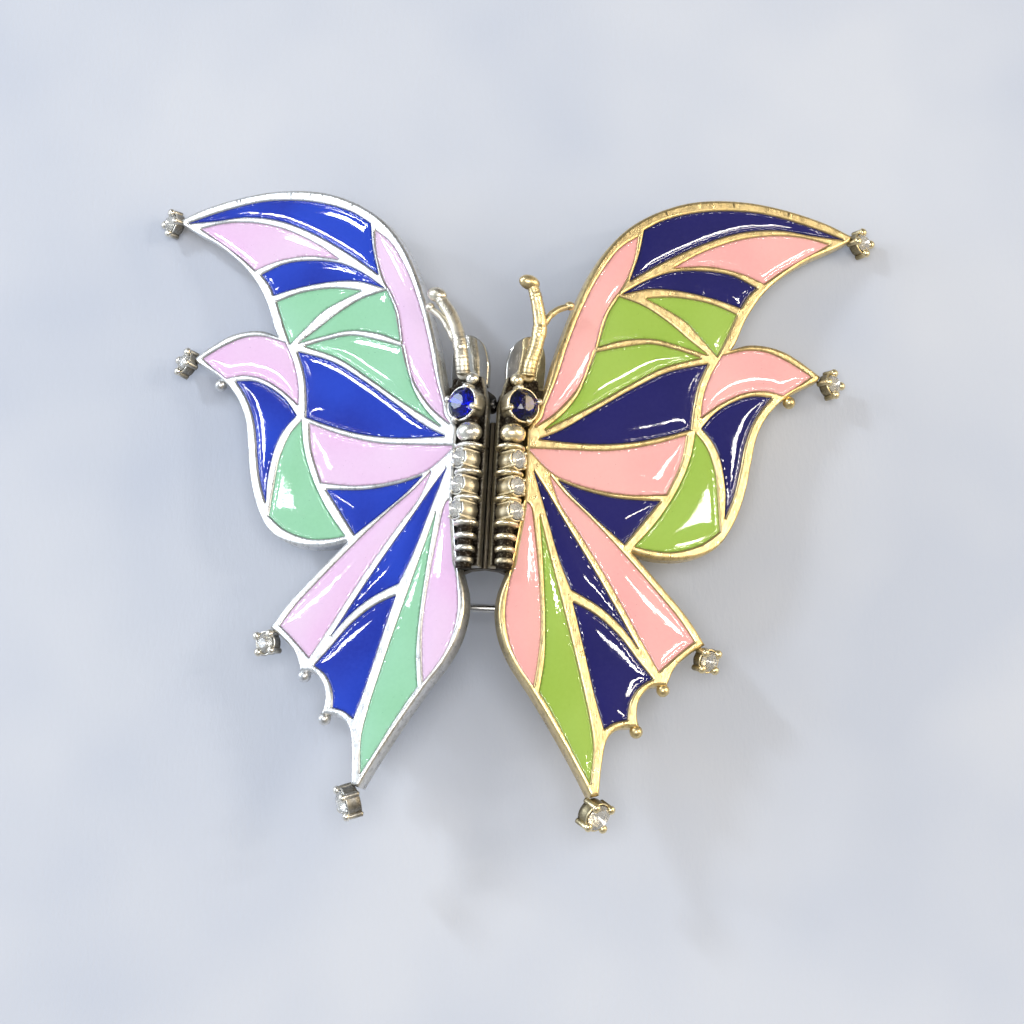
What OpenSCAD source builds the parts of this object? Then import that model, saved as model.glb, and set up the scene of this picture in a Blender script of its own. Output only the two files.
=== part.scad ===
// Double-clip butterfly brooch: two half-butterfly dress clips carried side by side on one pin frame.
// Millimetres. +X towards the right wing, +Y towards the head, +Z out of the front face.
// Each half is drawn in its own flat wing frame (u outwards, v towards the head, w out of the face)
// and then leaned outwards like one side of a roof.

/* [Wings] */
// Lean of each half, degrees from flat
wing_tilt = 20; // [10:1:28]
// Distance of each half's root from the centre line
root_gap = 0.6; // [0.4:0.05:1.2]
// Thickness of the wing casting
wing_t = 1.9; // [1.4:0.1:2.6]
// Depth of the enamel wells below the rib tops
well_depth = 0.9; // [0.5:0.05:1.3]
// How far the enamel stays under the rib tops
enamel_low = 0.15; // [0.05:0.05:0.4]
// Radius of the shot beads on the lower edge
bead_r = 0.7; // [0.4:0.05:0.9]

/* [Stones] */
// Radius of the eye stone
eye_r = 1.7; // [1.1:0.05:1.9]
// Radius of the stones along the body
body_stone_r = 0.95; // [0.8:0.05:1.3]
// Radius of the stones on the wing tips
tip_stone_r = 1.1; // [0.8:0.05:1.4]
// Radius of the tail stones
tail_stone_r = 1.4; // [0.9:0.05:1.6]

/* [Clip levers] */
// Height of the lever hinge along the half
hinge_v = 13.5; // [12.5:0.1:15]
// Depth of the lever hinge behind the rib tops
hinge_w = -5.0; // [-6:0.1:-4.6]
// Radius of the lever hinge pin
hinge_r = 0.5; // [0.3:0.05:0.7]
// Lower end of the lever's flap
flap_end = -3; // [-5:0.5:2]
// Upper end of the lever's thumb tab
tab_end = 21; // [18:0.5:22]

/* [Frame and pin] */
// Thickness of the frame plate
plate_t = 0.8; // [0.6:0.05:1.0]
// Gap between the wing backs and the frame plate
plate_gap = 0.35; // [0.2:0.05:0.5]
// Top of the tongues that the clips push on to
tongue_top = 10.5; // [7:0.5:11]
// Radius of the pin stem
stem_r = 0.45; // [0.35:0.05:0.55]
// Height of the pin stem along the brooch
stem_y = -8; // [-10:0.5:-6]
// Depth of the pin stem behind the rib tops at the centre line
stem_z = -10.4; // [-12:0.1:-9]
// Distance of the stem's hinge and catch from the centre line
stem_x = 11.5; // [9:0.5:13]

// Length of the stem's even middle part, which the cloth hangs on
free_stem = 17; // [14:0.5:19]

/* [Hidden] */
$fn = 48;
eps = 0.01;
base_z = 16.72;     // height of the wing roots' plane over the lowest point
mid_y = -3.526;      // puts the middle of the brooch's length on the origin
back_w = -wing_t;
plate_w1 = back_w - plate_gap;
plate_w0 = plate_w1 - plate_t;
flap_w1 = plate_w0 - 0.35;
flap_w0 = flap_w1 - 0.8;

// ---- curves -------------------------------------------------------------
// A Catmull-Rom run through the given points, n steps a span; runs are joined with sharp corners.
function cr(a, b, c, d, t) = 0.5 * ((2 * b) + (c - a) * t + (2 * a - 5 * b + 4 * c - d) * t * t + (3 * b - a - 3 * c + d) * t * t * t);
function run(p, n = 3) = len(p) < 3 ? [for (i = [0 : len(p) - 2]) p[i]] :
  [for (i = [0 : len(p) - 2]) for (k = [0 : n - 1])
    cr(p[max(i - 1, 0)], p[i], p[i + 1], p[min(i + 2, len(p) - 1)], k / n)];
function loop(runs, n = 3) = [for (r = runs) each run(r, n)];

// Outline of the wing casting: leading edge, upper tip, trailing edge, side wing, rounded lower wing,
// lower outer strip, two scallops, tail, inner edge, root.
wing_outline = loop([
  [[4.9, 13], [5.5, 15], [6.2, 18], [7.2, 21.5], [8.5, 25.3], [10, 28.8], [12, 32.1], [14.5, 34.8], [18, 37.1], [22, 38.7], [27, 39.5], [32, 39.4], [37, 38.6], [40.4, 37.5]],
  [[40.4, 37.5], [40.2, 36.8]],
  [[40.2, 36.8], [38, 35.4], [35, 33.6], [32, 31.2], [29.8, 28.8], [28, 25.8], [26.9, 23], [26.3, 21.9]],
  [[26.3, 21.9], [28.2, 22.7], [30.2, 22.9], [32.4, 22.6], [34.5, 21.7], [36.9, 20.3]],
  [[36.9, 20.3], [36.6, 19.7]],
  [[36.6, 19.7], [34.5, 18.4], [32.4, 16.8], [30.7, 14.7], [29.6, 12.3], [29, 9.2], [28.4, 5.8], [27.2, 2.2], [25.2, -0.8], [22, -2.4], [18.5, -2.8], [15.7, -2.4]],
  [[15.7, -2.4], [19, -5.5], [22.2, -8.7], [24.3, -11.5]],
  [[24.3, -11.5], [22.5, -12.8], [21, -14.4], [20.2, -16.4]],
  [[20.2, -16.4], [18.4, -16.7], [17.2, -18.2], [17, -19.8], [17.3, -21.1]],
  [[17.3, -21.1], [15.3, -21.4], [13.9, -22.6], [13.4, -25.2], [13.2, -28.6]],
  [[13.2, -28.6], [12.3, -28.9]],
  [[12.3, -28.9], [10.8, -26.4], [8.3, -22.6], [5.6, -18.8], [3.4, -16], [2, -13.4], [1.4, -10.8], [1.5, -8.6], [2.1, -6.6], [2.6, -5.2]],
  [[2.6, -5.2], [3.4, 1]],
  [[3.4, 1], [3.4, 9.6]],
  [[3.4, 9.6], [4.2, 11], [4.9, 13]]]);

// The enamel wells, one closed loop each, read round the edge of the enamel.
blue_cells = [
  // upper crescent
  loop([[[15.6, 34.2], [18, 35.8], [21.5, 37.2], [25.5, 38.1], [30, 38.4], [35, 37.8], [39.3, 36.9]],
        [[39.3, 36.9], [35.5, 36.8], [31.5, 36.8], [27, 35.8], [22.5, 33.7], [18, 30.9], [14.2, 28.1]],
        [[14.2, 28.1], [15.1, 31.2], [15.6, 34.2]]]),
  // small crescent
  loop([[[13.4, 26.4], [16, 28.3], [19, 29.8], [22.5, 30.5], [26, 30.5], [29, 29.5]],
        [[29, 29.5], [27.9, 28.2], [27.2, 26.9]],
        [[27.2, 26.9], [24, 27.5], [20, 27.8], [16.5, 27.5], [13.4, 26.4]]]),
  // large triangle
  loop([[[4.8, 8.7], [7.5, 10.2], [11, 12.8], [15, 15.7], [19, 18.2], [23.5, 19.8]],
        [[23.5, 19.8], [22.5, 17.2], [22, 14.5], [21.8, 12.1]],
        [[21.8, 12.1], [18.5, 10.8], [14.5, 9.6], [10, 8.9], [4.8, 8.7]]]),
  // side crescent
  loop([[[23.1, 12.4], [24.6, 14.3], [26.6, 15.8], [28.8, 16.8], [31.1, 17]],
        [[31.1, 17], [29.3, 14.4], [28.2, 11.4], [27.6, 8], [27, 5.2], [26.1, 2.7]],
        [[26.1, 2.7], [26.1, 5.6], [25.5, 8.8], [24.5, 10.9], [23.1, 12.4]]]),
  // small triangle
  loop([[[7.2, 4.4], [10, 3.7], [14, 3.3], [18.6, 3.6]],
        [[18.6, 3.6], [16.7, 1], [14.8, -1.6]],
        [[14.8, -1.6], [12, 0.4], [9.3, 2.4], [7.2, 4.4]]]),
  // inner strip, upper part
  loop([[[4.4, 5.1], [6.1, 2.8], [8.4, -0.5], [11, -4.1], [13.6, -7.9], [16.7, -12.6]],
        [[16.7, -12.6], [14.8, -10.5], [12.2, -8.6], [9.1, -7.2]],
        [[9.1, -7.2], [7.6, -3.9], [6, 0.6], [4.4, 5.1]]]),
  // inner strip, lower part
  loop([[[9.4, -8.6], [12, -9.7], [14.6, -11.6], [16.7, -13.9], [18.5, -15.8]],
        [[18.5, -15.8], [17, -16.9], [16.1, -18.6], [15.9, -20.4]],
        [[15.9, -20.4], [14.6, -20.8], [13.4, -21.6]],
        [[13.4, -21.6], [12.3, -18.4], [10.9, -13.6], [9.4, -8.6]]])];

pink_cells = [
  // long crescent under the upper one
  loop([[[19.3, 30.4], [22.4, 32.6], [26.5, 34.7], [30.5, 35.9], [34.2, 36.3], [37.5, 36]],
        [[37.5, 36], [34.6, 33.9], [32, 32], [29.9, 30.2]],
        [[29.9, 30.2], [27, 31], [23.2, 31.2], [19.3, 30.4]]]),
  // leading edge strip
  loop([[[5.3, 12.4], [6.5, 16], [7.5, 19.8], [8.8, 23.8], [10.5, 27.8], [12.7, 31.4], [14.9, 33.3]],
        [[14.9, 33.3], [14.5, 30.4], [13.4, 27.4], [11.9, 24.8], [11, 21.6], [10.1, 18.2], [8.8, 15.1], [6.6, 12.1], [4.3, 10.1]],
        [[4.3, 10.1], [5, 11.1], [5.3, 12.4]]]),
  // side tip
  loop([[[25.2, 21], [28, 22], [30.6, 22.1], [33.2, 21.3], [35.7, 20.1]],
        [[35.7, 20.1], [34.2, 18.8], [32.6, 17.5]],
        [[32.6, 17.5], [30.2, 17.7], [27.6, 17], [25, 15.4], [23, 13.7]],
        [[23, 13.7], [23.2, 16], [24, 18.6], [25.2, 21]]]),
  // middle triangle
  loop([[[3.6, 7.5], [8, 7.9], [12.5, 8.4], [17, 9.6], [21.3, 11.3]],
        [[21.3, 11.3], [20.8, 8.2], [19.3, 4.5]],
        [[19.3, 4.5], [15, 3.9], [10.5, 4.1], [6.6, 5.1], [3.6, 7.5]]]),
  // lower outer strip
  loop([[[6.2, 4.8], [8.2, 2.8], [11, 0.6], [14.3, -2.3], [18, -5.8], [21.2, -9], [23, -11.3]],
        [[23, -11.3], [21.2, -12.9], [19.2, -14.9]],
        [[19.2, -14.9], [16.6, -11], [13.4, -6.1], [9.8, -1.1], [7.4, 2], [6.2, 4.8]]]),
  // inner edge strip
  loop([[[3.7, 1.6], [4.3, 1], [4.8, -1.6], [5.3, -4.8], [5.7, -8], [6, -12], [5.8, -15.6], [5.5, -17.9]],
        [[5.5, -17.9], [3.8, -15.8], [2.6, -13.2], [2.1, -10.4], [2.4, -7.2], [3, -3.4], [3.7, 1.6]]])];

green_cells = [
  // upper wedge
  loop([[[16.2, 26.3], [19.5, 26.9], [23.5, 26.8], [26.7, 26]],
        [[26.7, 26], [25.6, 23.2], [24.6, 20.9]],
        [[24.6, 20.9], [23, 22.4], [20.4, 24.6], [16.2, 26.3]]]),
  // middle wedge
  loop([[[13, 26], [16, 25.3], [18.8, 23.9], [21.2, 22.3], [23.4, 20.9]],
        [[23.4, 20.9], [20.6, 21.4], [17.2, 21.8], [13.8, 21.2], [10.9, 20]],
        [[10.9, 20], [11.6, 23.2], [13, 26]]]),
  // lower wedge
  loop([[[10.5, 19.2], [13.4, 20.2], [16.8, 21.1], [19.8, 20.9], [22.6, 20.4]],
        [[22.6, 20.4], [18.4, 18.7], [14.6, 16.2], [10.4, 13.2], [5.4, 9.9]],
        [[5.4, 9.9], [7.6, 12.2], [9.2, 14.9], [10.5, 19.2]]]),
  // lower side
  loop([[[22.4, 11.7], [23.8, 10.1], [24.8, 7.4], [25.2, 4.2], [25.5, 1.1]],
        [[25.5, 1.1], [23.4, -0.6], [20.6, -1.7], [18.2, -1.9], [16, -1.7]],
        [[16, -1.7], [18.5, 1.5], [20.6, 5.2], [21.9, 8.7], [22.4, 11.7]]]),
  // tail strip
  loop([[[5.3, 0.2], [6.3, -3], [7.6, -7], [9, -11.4], [10.4, -16], [11.6, -20.2], [12.3, -23.8], [12.1, -27.4]],
        [[12.1, -27.4], [10.3, -24.6], [8.3, -21.4], [6.2, -18.4]],
        [[6.2, -18.4], [6.6, -15], [6.5, -11], [6.2, -7.4], [5.8, -3.6], [5.3, 0.2]]])];

// Places where the tip stones sit: [u, v, stone radius, lean outwards, direction of the lean]
tips_right = [[41.9, 37, tip_stone_r, 30, 10], [38.6, 19.7, tip_stone_r, 32, 5], [24.9, -13.2, tip_stone_r, 28, -45], [13.3, -30.9, tail_stone_r, 42, -50]];
tips_left = [[41.9, 37.3, tip_stone_r, 30, 5], [38.4, 20, tip_stone_r, 34, 25], [24.9, -13.1, tip_stone_r, 14, -50], [14, -30.5, tail_stone_r, 58, -25]];
// Heights of the body stones and rings on the body's axis
body_u = 1.6;
stone_v = [5.7, 2.8, 0.1];
// The body's cups and the eye lean further out than the wing does
body_lean = 24;
eye_lean = 14;
eye_at = [2.4, 11.95, -0.2];
// Antennae: the main stem, its round end, the branch and its round end. The left one is bent outwards, beside its branch.
feeler_right = [[3.3, 15.9, -0.1], [3.4, 17, 0.1], [3.8, 19, 0.35], [4, 21, 0.6], [3.6, 23, 0.85], [2.9, 24.9, 1.05]];
feeler_right_end = [2.45, 25.6, 1.1];
branch_right = [[4, 20.7, 0.6], [5, 22.3, 0.75], [6, 23.2, 0.85], [6.9, 23.6, 0.95]];
branch_right_end = [7.1, 23.7, 0.95];
feeler_left = [[3.2, 15.9, -0.1], [3.25, 17.3, 0.1], [3.6, 19.5, 0.35], [4.45, 21.9, 0.65], [5.25, 23.2, 0.9], [5.8, 24, 1.05]];
feeler_left_end = [6.15, 24.4, 1.1];
branch_left = [[3.45, 18.6, 0.25], [4.5, 20, 0.5], [5.45, 21.7, 0.75], [6.7, 22.8, 0.9]];
branch_left_end = [7, 23.1, 0.95];
rings = [[7.15, 1.6], [4.3, 1.55], [1.45, 1.5], [-1.2, 1.35], [-2.6, 1.2], [-3.95, 1.1], [-5.2, 1.0]];

// ---- helpers ------------------------------------------------------------
module half_right() translate([root_gap, mid_y, base_z]) rotate([0, wing_tilt, 0]) children();
module half_left() mirror([1, 0, 0]) half_right() children();
module asm() translate([0, mid_y, base_z]) children();
module prism(p, w0, w1) translate([0, 0, w0]) linear_extrude(w1 - w0) polygon(p);
// Round rod from a to b, with a slightly fatter ball at b that the next rod starts in
module rod(a, b, r) {
  d = b - a;
  l = norm(d);
  translate(a) rotate([0, acos(d[2] / l), atan2(d[1], d[0])]) cylinder(r = r, h = l, $fn = 24);
  translate(b) sphere(r = r + 0.05, $fn = 24);
}
// A brilliant-cut stone: table up, point down, girdle at height 0
module stone(r) rotate_extrude($fn = 40) polygon([[0, -0.75 * r], [0.96 * r, -0.04 * r], [r, 0], [0.97 * r, 0.06 * r], [0.56 * r, 0.36 * r], [0, 0.36 * r]]);
// An open cup that holds a stone with its girdle at height 0, with four claws ending in balls
module cup(r, deep, wall = 0.22) {
  difference() {
    translate([0, 0, -deep]) cylinder(r = r + wall, h = deep - 0.1);
    translate([0, 0, -0.8 * r]) cylinder(r1 = 0.25 * r, r2 = r + 0.04, h = 0.8 * r + eps);
  }
  for (k = [0 : 3]) rotate([0, 0, 90 * k]) translate([r + wall, 0, 0]) {
    translate([0, 0, -deep]) cylinder(r = 0.32, h = deep + 0.12 * r, $fn = 24);
    translate([0, 0, 0.12 * r]) sphere(r = 0.48, $fn = 24);
  }
}
module at_tip(t, up = 0) translate([t[0], t[1], -0.35]) rotate([0, 0, t[4]]) rotate([0, t[3], 0]) translate([0, 0, up]) children();

// ---- one half's pieces, in the wing frame --------------------------------
module wing_casting() color("gainsboro") {
  difference() {
    prism(wing_outline, back_w, 0);
    for (c = concat(blue_cells, pink_cells, green_cells)) prism(c, -well_depth, 1);
  }
  for (b = [[19.9, -16.8], [17.1, -21.5]]) translate([b[0], b[1], -0.65]) sphere(r = bead_r, $fn = 32);
  translate([33.4, 16.9, -0.65]) sphere(r = bead_r, $fn = 32);
}
module enamel(cells) for (c = cells) prism(c, -well_depth, -enamel_low);
module enamel_blue() color([0.09, 0.1, 0.42]) enamel(blue_cells);
module enamel_pink() color([0.97, 0.72, 0.78]) enamel(pink_cells);
module enamel_green() color([0.64, 0.84, 0.42]) enamel(green_cells);
module body_casting() color("silver") {
  prism([[0.35, -5.6], [2.55, -5.6], [3.4, 1], [3.4, 9.6], [4.2, 11], [4.85, 13], [4.6, 15.4], [1.2, 15.4], [0.35, 12]], back_w, -0.8);
  translate([body_u, -6, 0]) rotate([-90, 0, 0]) cylinder(r = 0.85, h = 16.5);
  for (r = rings) translate([body_u, r[0] - 0.3, 0]) rotate([-90, 0, 0]) cylinder(r = r[1], h = 0.6);
  translate([body_u + 0.1, 8.75, 0.3]) sphere(r = 1.25, $fn = 40);
  translate([2.1, 15, -0.5]) sphere(r = 0.75, $fn = 32);
}
module at_body(v, up = 0) translate([body_u, v, 0]) rotate([0, body_lean, 0]) translate([0, 0, up]) children();
// The cups that hold the body stones
module body_settings() color("silver") for (v = stone_v) at_body(v) difference() {
  translate([0, 0, -0.7]) cylinder(r = body_stone_r + 0.2, h = 2.2);
  translate([0, 0, 1.55 - 0.8 * body_stone_r]) cylinder(r1 = 0.25 * body_stone_r, r2 = body_stone_r + 0.04, h = 0.8 * body_stone_r);
}
module body_stones() color([0.92, 0.95, 1, 0.5]) for (v = stone_v) at_body(v, 1.57) stone(body_stone_r);
module at_eye(up = 0) translate(eye_at) rotate([0, eye_lean, 0]) translate([0, 0, up]) children();
module eye_collet() color("silver") at_eye() {
  difference() {
    translate([0, 0, -1]) cylinder(r = eye_r + 0.26, h = 2.0);
    translate([0, 0, 0.05]) cylinder(r1 = eye_r * 0.6, r2 = eye_r + 0.04, h = 0.96);
  }
  for (k = [0 : 3]) rotate([0, 0, 20 + 90 * k]) translate([eye_r + 0.26, 0, 0]) {
    cylinder(r = 0.28, h = 1.25, $fn = 24);
    translate([0, 0, 1.25]) sphere(r = 0.34, $fn = 24);
  }
}
module eye_stone() color([0.1, 0.15, 0.55, 0.6]) at_eye(1.08) rotate_extrude($fn = 40)
  polygon([[0, -0.85], [0.62 * eye_r, -0.85], [eye_r * 0.97, -0.04], [eye_r, 0], [0.97 * eye_r, 0.1], [0.62 * eye_r, 0.62], [0, 0.72]]);
module antenna(p, p_end, b, b_end) color("gainsboro") {
  translate([p[0][0], p[0][1], -0.8]) cylinder(r = 0.55, h = 0.7);
  translate(p[0]) sphere(r = 0.78, $fn = 24);
  for (i = [0 : 4]) rod(p[i], p[i + 1], 0.72 - 0.03 * i);
  for (i = [0 : 2]) rod(b[i], b[i + 1], 0.38 - 0.02 * i);
  translate(p_end) sphere(r = 0.95, $fn = 32);
  translate(b_end) sphere(r = 0.52, $fn = 32);
}
module tip_settings(tips) color("silver") for (t = tips) at_tip(t) cup(t[2], t[2] > 1.2 ? 1.6 : 1.25);
module tip_stones(tips) color([0.92, 0.95, 1, 0.5]) for (t = tips) at_tip(t, 0.02) stone(t[2]);
lug_u = [[1.5, 2.2], [6.2, 6.9]];
module hinge_bracket() color("silver") difference() {
  union() {
    translate([1.5, 12.3, back_w - 0.4]) cube([5.4, 2.4, 0.4]);
    for (l = lug_u) translate([l[0], 0, 0]) {
      translate([0, hinge_v - 1.05, hinge_w]) cube([l[1] - l[0], 2.1, back_w - hinge_w]);
      translate([0, hinge_v, hinge_w]) rotate([0, 90, 0]) cylinder(r = 1.05, h = l[1] - l[0]);
    }
  }
  translate([0, hinge_v, hinge_w]) rotate([0, 90, 0]) cylinder(r = hinge_r, h = 9);
}
module hinge_pin() color("darkgray") translate([1.35, hinge_v, hinge_w]) rotate([0, 90, 0]) cylinder(r = hinge_r, h = 5.7);
knuckle_u = [[2.3, 3.3], [5.1, 6.1]];
module lever() color("lightgray") difference() {
  union() {
    // flap behind the frame's tongue
    prism(loop([[[2.3, 12.3], [2.3, 11], [2.4, 8.5], [2.8, 4], [3.2, 0.5]], [[3.2, 0.5], [3.5, -1.6], [4.3, flap_end], [5.2, flap_end - 0.3], [6.1, flap_end], [7, -1.6], [7.3, 0.5]],
      [[7.3, 0.5], [7.3, 9.2]], [[7.3, 9.2], [6.4, 11], [6.1, 12.3]]]), flap_w0, flap_w1);
    for (k = knuckle_u) {
      translate([k[0], hinge_v, hinge_w]) rotate([0, 90, 0]) cylinder(r = 1.0, h = k[1] - k[0]);
      translate([k[0], 12, flap_w0]) cube([k[1] - k[0], 3.4, 0.8]);
    }
    // thumb tab over the hinge, rising a little to its round end
    translate([0, 15.1, flap_w0]) rotate([6, 0, 0]) translate([0, -15.1, 0])
      prism(loop([[[1.7, 15], [1.7, 18], [2.2, 19.8], [3.2, tab_end - 0.3], [4.1, tab_end], [5, tab_end - 0.4], [5.8, 19.6], [6.1, 18], [6.1, 15]]]), 0, 0.8);
  }
  translate([0, hinge_v, hinge_w]) rotate([0, 90, 0]) cylinder(r = hinge_r + 0.05, h = 9);
}
// Torsion spring on the hinge pin between the lever's knuckles
module lever_spring() color("goldenrod") {
  for (i = [0 : 3]) translate([3.62 + 0.38 * i, hinge_v, hinge_w]) rotate([0, 90, 0]) rotate_extrude($fn = 40) translate([0.78, 0]) circle(r = 0.2, $fn = 24);
  translate([3.62, hinge_v + 0.1, hinge_w + 0.78]) rotate([-58, 0, 0]) cylinder(r = 0.19, h = 1.9, $fn = 24);
  translate([4.76, hinge_v + 0.1, hinge_w + 0.78]) rotate([-28, 0, 0]) cylinder(r = 0.19, h = 1.9, $fn = 24);
}

// ---- frame and pin ------------------------------------------------------
plate_side = loop([
  [[0, -5.6], [3, -6], [5.5, -9.2], [8, -10.2], [12.6, -10.2]],
  [[12.6, -10.2], [14.4, -9.9], [15.2, -8.6], [15.2, -7.2], [14.4, -6], [12.6, -5.7]],
  [[12.6, -5.7], [9.6, -5.4], [7.6, -3.6], [7.1, -1]],
  [[7.1, -1], [7.1, 8.4]],
  [[7.1, 8.4], [6.6, 9.8], [4.5, tongue_top], [2.8, 10.3], [1.4, 10.4], [0, tongue_top]],
  [[0, tongue_top], [0, -5.6]]]);
module frame_plate() color("silver") {
  difference() {
    union() { half_right() prism(plate_side, plate_w0, plate_w1); half_left() prism(plate_side, plate_w0, plate_w1); }
  }
}
// Everything of the frame's solids above the plate's back is cut away, so a post meets it flush
module under_plate(right) {
  if (right) half_right() translate([-5, -40, plate_w0]) cube([60, 80, 30]);
  else half_left() translate([-5, -40, plate_w0]) cube([60, 80, 30]);
}
module pin_joint() color("silver") difference() {
  asm() for (s = [-1.7, 0.95]) translate([-stem_x, stem_y + s, 0]) {
    translate([-1.15, 0, stem_z]) cube([2.3, 0.75, 6.5]);
    translate([0, 0, stem_z]) rotate([-90, 0, 0]) cylinder(r = 1.15, h = 0.75);
  }
  under_plate(false);
  asm() translate([-stem_x, stem_y - 4, stem_z]) rotate([-90, 0, 0]) cylinder(r = 0.5, h = 8);
}
module pin_rivet() color("darkgray") asm() translate([-stem_x, stem_y - 1.95, stem_z]) rotate([-90, 0, 0]) cylinder(r = 0.5, h = 3.9);
module pin_stem() color("gainsboro") asm() translate([-stem_x, stem_y, stem_z]) difference() {
  union() {
    translate([0, -0.65, 0]) rotate([-90, 0, 0]) cylinder(r = 1.0, h = 1.3);
    rotate([0, 90, 0]) cylinder(r = stem_r + 0.19, h = stem_x - free_stem / 2);
    translate([stem_x - free_stem / 2, 0, 0]) rotate([0, 90, 0]) cylinder(r = stem_r, h = free_stem);
    translate([stem_x + free_stem / 2, 0, 0]) rotate([0, 90, 0]) cylinder(r1 = stem_r - 0.01, r2 = stem_r - 0.07, h = stem_x - free_stem / 2 + 1.6);
    translate([2 * stem_x + 1.6, 0, 0]) rotate([0, 90, 0]) cylinder(r1 = stem_r - 0.07, r2 = 0.08, h = 2.2);
  }
  translate([0, -2, 0]) rotate([-90, 0, 0]) cylinder(r = 0.55, h = 4);
}
module catch_housing() color("silver") difference() {
  asm() translate([stem_x - 1.2, stem_y, stem_z]) {
    rotate([0, 90, 0]) cylinder(r = 1.95, h = 2.4);
    translate([0, -1.2, 0]) cube([2.4, 2.4, 7]);
  }
  under_plate(true);
  asm() translate([stem_x - 3, stem_y, stem_z]) rotate([0, 90, 0]) cylinder(r = 1.4, h = 6);
  asm() translate([stem_x - 3, stem_y - 0.75, stem_z - 4]) cube([6, 1.5, 4]);
}
module catch_roller() color("gainsboro") difference() {
  asm() translate([stem_x - 1.2, stem_y, stem_z]) {
    rotate([0, 90, 0]) cylinder(r = 1.35, h = 3.2);
    translate([2.55, 0.7, -0.3]) cube([0.65, 1.45, 0.6]);
  }
  asm() translate([stem_x - 3, stem_y, stem_z]) rotate([0, 90, 0]) cylinder(r = 0.75, h = 6);
  asm() translate([stem_x - 3, stem_y - 0.75, stem_z - 4]) cube([6, 1.5, 4]);
}

module left_wing_casting() half_left() wing_casting();
module left_enamel_blue() half_left() enamel_blue();
module left_enamel_pink() half_left() enamel_pink();
module left_enamel_green() half_left() enamel_green();
module left_body_casting() half_left() body_casting();
module left_body_settings() half_left() body_settings();
module left_body_stones() half_left() body_stones();
module left_eye_collet() half_left() eye_collet();
module left_eye_stone() half_left() eye_stone();
module left_antenna() half_left() antenna(feeler_left, feeler_left_end, branch_left, branch_left_end);
module left_tip_settings() half_left() tip_settings(tips_left);
module left_tip_stones() half_left() tip_stones(tips_left);
module left_hinge_bracket() half_left() hinge_bracket();
module left_hinge_pin() half_left() hinge_pin();
module left_lever() half_left() lever();
module left_lever_spring() half_left() lever_spring();
module right_wing_casting() half_right() wing_casting();
module right_enamel_blue() half_right() enamel_blue();
module right_enamel_pink() half_right() enamel_pink();
module right_enamel_green() half_right() enamel_green();
module right_body_casting() half_right() body_casting();
module right_body_settings() half_right() body_settings();
module right_body_stones() half_right() body_stones();
module right_eye_collet() half_right() eye_collet();
module right_eye_stone() half_right() eye_stone();
module right_antenna() half_right() antenna(feeler_right, feeler_right_end, branch_right, branch_right_end);
module right_tip_settings() half_right() tip_settings(tips_right);
module right_tip_stones() half_right() tip_stones(tips_right);
module right_hinge_bracket() half_right() hinge_bracket();
module right_hinge_pin() half_right() hinge_pin();
module right_lever() half_right() lever();
module right_lever_spring() half_right() lever_spring();

frame_plate();
pin_joint();
pin_rivet();
pin_stem();
catch_housing();
catch_roller();
left_wing_casting();
left_enamel_blue();
left_enamel_pink();
left_enamel_green();
left_body_casting();
left_body_settings();
left_body_stones();
left_eye_collet();
left_eye_stone();
left_antenna();
left_tip_settings();
left_tip_stones();
left_hinge_bracket();
left_hinge_pin();
left_lever();
left_lever_spring();
right_wing_casting();
right_enamel_blue();
right_enamel_pink();
right_enamel_green();
right_body_casting();
right_body_settings();
right_body_stones();
right_eye_collet();
right_eye_stone();
right_antenna();
right_tip_settings();
right_tip_stones();
right_hinge_bracket();
right_hinge_pin();
right_lever();
right_lever_spring();
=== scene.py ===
import math

import bmesh
import bpy
import numpy as np
from mathutils import Matrix, Vector
from mathutils.geometry import delaunay_2d_cdt


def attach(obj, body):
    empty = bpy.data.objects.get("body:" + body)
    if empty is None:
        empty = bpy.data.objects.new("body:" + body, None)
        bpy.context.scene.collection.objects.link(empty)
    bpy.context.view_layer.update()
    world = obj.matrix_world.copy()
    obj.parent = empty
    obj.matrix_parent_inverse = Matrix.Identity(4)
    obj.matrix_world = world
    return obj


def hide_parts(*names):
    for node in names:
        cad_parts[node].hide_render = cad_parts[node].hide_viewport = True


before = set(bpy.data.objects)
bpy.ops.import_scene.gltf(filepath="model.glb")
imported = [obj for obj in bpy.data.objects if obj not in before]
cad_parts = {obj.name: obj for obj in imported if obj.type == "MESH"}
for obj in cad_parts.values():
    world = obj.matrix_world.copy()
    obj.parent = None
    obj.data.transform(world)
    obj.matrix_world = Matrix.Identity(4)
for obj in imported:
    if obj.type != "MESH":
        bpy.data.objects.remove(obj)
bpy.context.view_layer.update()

MM = 0.001
TILT = math.radians(20)
ROOT_GAP, MID_Y, BASE_Z = 0.6, -3.526, 16.72
WING_T, WELL, BACK_W = 1.9, 0.9, -1.9
CT, ST = math.cos(TILT), math.sin(TILT)
rng = np.random.default_rng(7)


# ---------------------------------------------------------------- geometry helpers
def place(p, side):
    """Wing-frame millimetres (u, v, w) to row-frame metres. side 1 is the right half, -1 the left."""
    p = np.asarray(p, float)
    x = p[:, 0] * CT + p[:, 2] * ST + ROOT_GAP
    z = -p[:, 0] * ST + p[:, 2] * CT + BASE_Z
    return np.c_[side * x, p[:, 1] + MID_Y, z] * MM


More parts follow.
